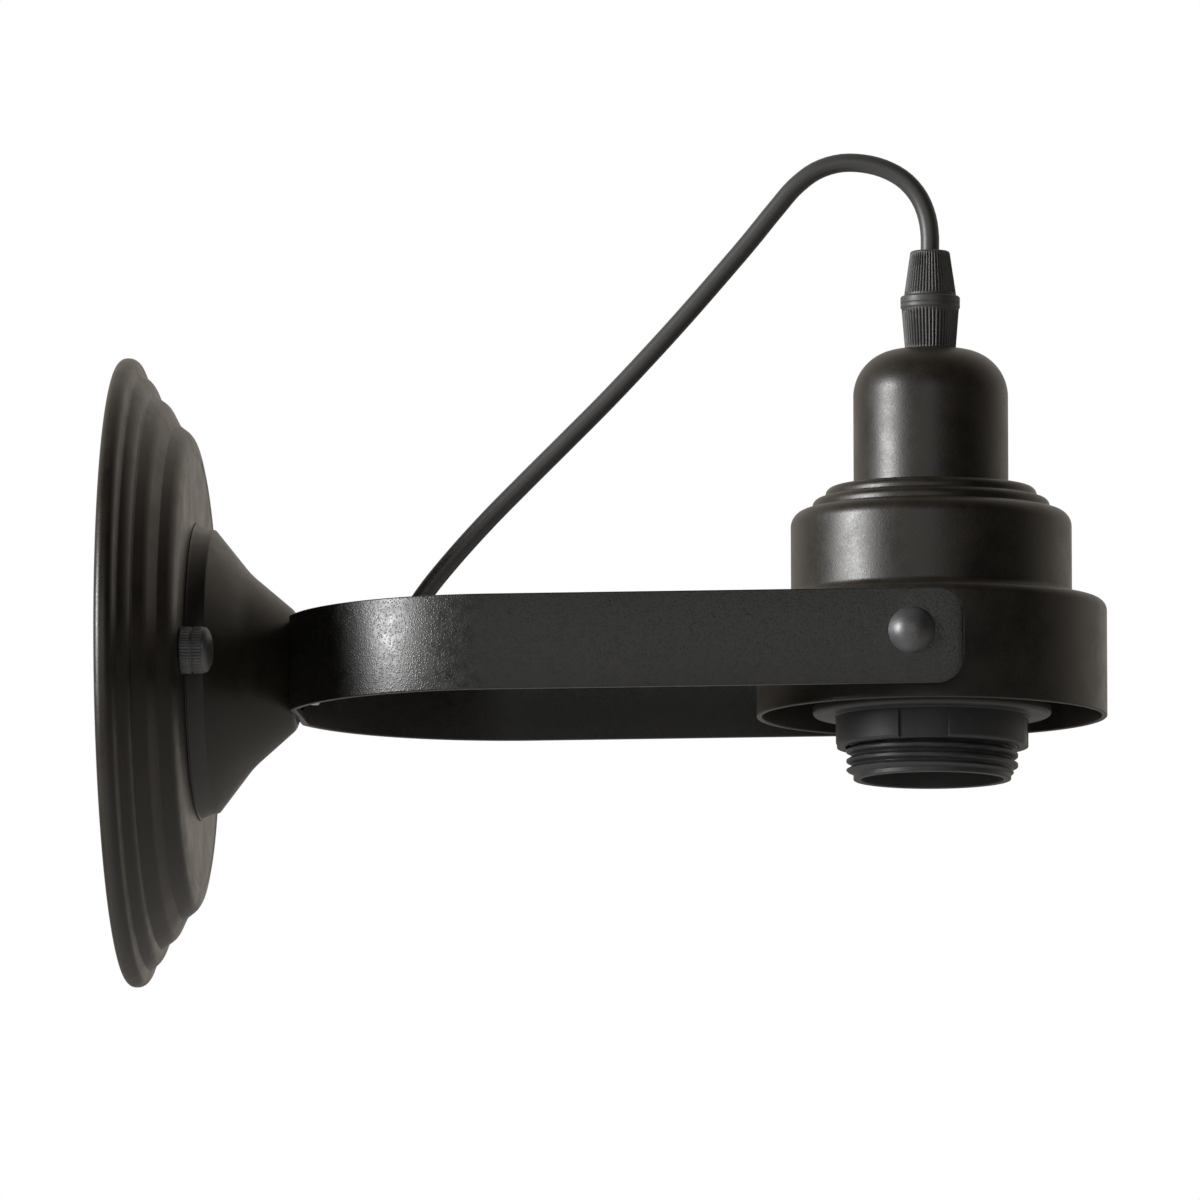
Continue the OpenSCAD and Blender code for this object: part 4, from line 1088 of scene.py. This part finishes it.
def addNuts(sizes):
    for node, size in sizes.items():
        height = pivotNutHeight if node == "pivot_nuts" else min(high(node) - low(node))
        nut = nutGrid(size["across"], height, size["bore"], nutDetail)
        grids = [placed(nut, place) for place in nutPlaces(node)]
        addDressed(camelName(node), grids, "zincSteel", node, sharp=20)


addNuts(nuts)
print("nuts cut")


# small pieces keep their CAD shape, with their hard edges broken: by finish, the width of that edge in mm

softPieces = {
    "zincSteel": {"mounting_bracket": 0.22, "bracket_studs": 0.25, "hub_rear_washer": 0.12,
                  "hub_front_washer": 0.15, "pivot_washers": 0.15, "cap_washer": 0.12},
    "darkSteel": {"pivot_spacers": 0.25},
    "brass": {"earth_screw": 0.15, "block_screws": 0.08, "centre_contact": 0.08, "holder_screws": 0.12},
    "palePlastic": {"terminal_block": 0.35, "contact_carrier": 0.25},
    "gripPlastic": {"cable_bush": 0.25},
}

softening = {"flatAngle": 1, "hardAngle": 35, "sharpAngle": 30, "segments": 2}   # angles in degrees


def addSoftPiece(node, finish, width):
    flat, hard = (math.radians(softening[key]) for key in ("flatAngle", "hardAngle"))
    mesh = cadNodes[node].data.copy()
    mesh.transform(cadNodes[node].matrix_world)

    def soften(built):
        bmesh.ops.dissolve_limit(built, angle_limit=flat, verts=built.verts, edges=built.edges)
        edges = [edge for edge in built.edges if len(edge.link_faces) == 2 and edge.calc_face_angle() > hard]
        bmesh.ops.bevel(built, geom=edges, offset=width * mm, segments=softening["segments"], profile=0.5,
                        affect="EDGES", clamp_overlap=True)

    dress(addMesh(camelName(node), mesh, softening["sharpAngle"], soften), finish, node)


for finish, widths in softPieces.items():
    for node, width in widths.items():
        addSoftPiece(node, finish, width)
print("small pieces softened")


# the two insulated cores behind the plate, from the end of the sheath to the terminal block

cores = {
    "diameter": 1.9, "spacing": 0.8, "sides": 16,
    "routes": [
        [(9.9, 1.05, 0), (7.5, 1.3, 0.4), (6, 2.5, 3), (5.8, 5, 8), (5.5, 9, 12.5), (5.5, 12.5, 13.5),
         (5.5, 13.75, 11), (5.5, 13.75, 4)],
        [(9.9, -1.05, 0), (7.5, -1.2, -0.4), (6, -0.5, -3), (5.8, 3, -8), (5.5, 10, -14), (5.5, 17.5, -15.5),
         (5.5, 22.25, -12), (5.5, 22.25, -4)],
    ],
}


def addHubCores(size):
    across = Vector((1, 0.2, 0.1)).normalized()   # no run of either core points this way
    grids = [tubeGrid(smoothRoute(route, size["spacing"])[0], size["diameter"] / 2, size["sides"], across)
             for route in size["routes"]]
    addDressed("hubCores", grids, "coreInsulation", "hub_cores")


addHubCores(cores)
print("cores laid")


# pieces that are hidden or already round keep their CAD shape and get their finish

repaint("zincSteel", "hub_tube", "head_tube")
repaint("holderPlastic", "lampholder_cap")
repaint("leadSheath", "hub_lead", "head_lead")
repaint("coreInsulation", "head_cores")
print("kept pieces finished")


# light: a white backdrop behind, a dim room in front, a tall softbox at the left and a weak one by the camera

studio = {
    "ambient": 0.2,
    "warmth": "#fff5e8",   # the tint of the light that comes off the backdrop
    "room": 0.02,          # how bright the front half of the room is in reflections
    "sheen": 0.75,         # how bright the backdrop is there
    "backdrop": (-0.12, 0.62),   # where the backdrop fades in, as the y of a direction
}

# seen from the object, in metres and watts
softboxes = {
    "keySoftbox": {"from": (-0.883, -0.469, 0.2), "distance": 2.6, "size": (0.6, 0.95), "power": 106},
    "fillSoftbox": {"from": (0.02, -0.99, 0.14), "distance": 3.0, "size": (1.4, 1.6), "power": 9.3},
}

floorLook = {
    "drop": 2.0, "reach": 24.0,   # m below the object and out to each side
    "base": "#f0efec", "cloud": "#f4f3f1", "cloudScale": 3, "clouds": (0.3, 0.7), "roughness": 0.9,
    "sheen": 0.12,                # how bright it is in reflections, beside the light that falls on it
}


def addSoftbox(name, look):
    data = bpy.data.lights.new(name, "AREA")
    data.shape = "RECTANGLE"
    data.size, data.size_y = look["size"]
    data.energy = look["power"]
    lamp = addObject(name, data)
    away = Vector(look["from"]).normalized()
    lamp.location = Vector(view["target"]) * mm + away * look["distance"]
    lamp.rotation_euler = away.to_track_quat("Z", "Y").to_euler()


def setWorld(look):
    # white to the camera; gloss and glass see a white backdrop behind; a softer level lights the object
    world = bpy.data.worlds.new("studio")
    world.use_nodes = True
    tree = world.node_tree
    ray = addNode(tree, "LightPath").outputs
    direction = addNode(tree, "TexCoord").outputs["Generated"]
    facing = addNode(tree, "SeparateXYZ", {"Vector": direction}).outputs["Y"]
    backdrop = spread(tree, facing, *look["backdrop"], look["room"], look["sheen"])
    mirrored = mathNode(tree, "ADD", ray["Is Glossy Ray"], ray["Is Transmission Ray"])
    level = mixValues(tree, mirrored, look["ambient"], backdrop)
    seen = ray["Is Camera Ray"]
    feed(tree, tree.nodes["Background"], {
        "Color": mixColours(tree, seen, colour(look["warmth"]), (1, 1, 1, 1)),
        "Strength": mixValues(tree, seen, level, 1.0)})
    bpy.context.scene.world = world


def addFloor(look):
    reach = look["reach"] / mm
    corners = [Vector((x * reach, y * reach, 0)) for x, y in ((-1, -1), (1, -1), (1, 1), (-1, 1))]
    floor = addPiece("floor", corners, [(0, 1, 2, 3)])
    floor.location.z = -look["drop"]
    material, tree, shader = newMaterial("paleFloor")
    grain = spread(tree, objectNoise(tree, look["cloudScale"], detail=6), *look["clouds"])
    ray = addNode(tree, "LightPath").outputs
    feed(tree, shader, {
        "Base Color": mixColours(tree, grain, colour(look["base"]), colour(look["cloud"])),
        "Roughness": look["roughness"], "Emission Color": (1, 1, 1, 1),
        "Emission Strength": product(tree, ray["Is Glossy Ray"], look["sheen"])})
    # seen from below, the floor lets the view through
    behind = product(tree, addNode(tree, "NewGeometry").outputs["Backfacing"], ray["Is Camera Ray"])
    clear = addNode(tree, "BsdfTransparent")
    mix = addNode(tree, "MixShader", {0: behind, 1: shader.outputs["BSDF"], 2: clear.outputs["BSDF"]})
    feed(tree, tree.nodes["Material Output"], {"Surface": mix.outputs["Shader"]})
    floor.data.materials.append(material)


setWorld(studio)
for name, look in softboxes.items():
    addSoftbox(name, look)
addFloor(floorLook)
bpy.context.scene.view_settings.view_transform = "Standard"
print("studio lit")
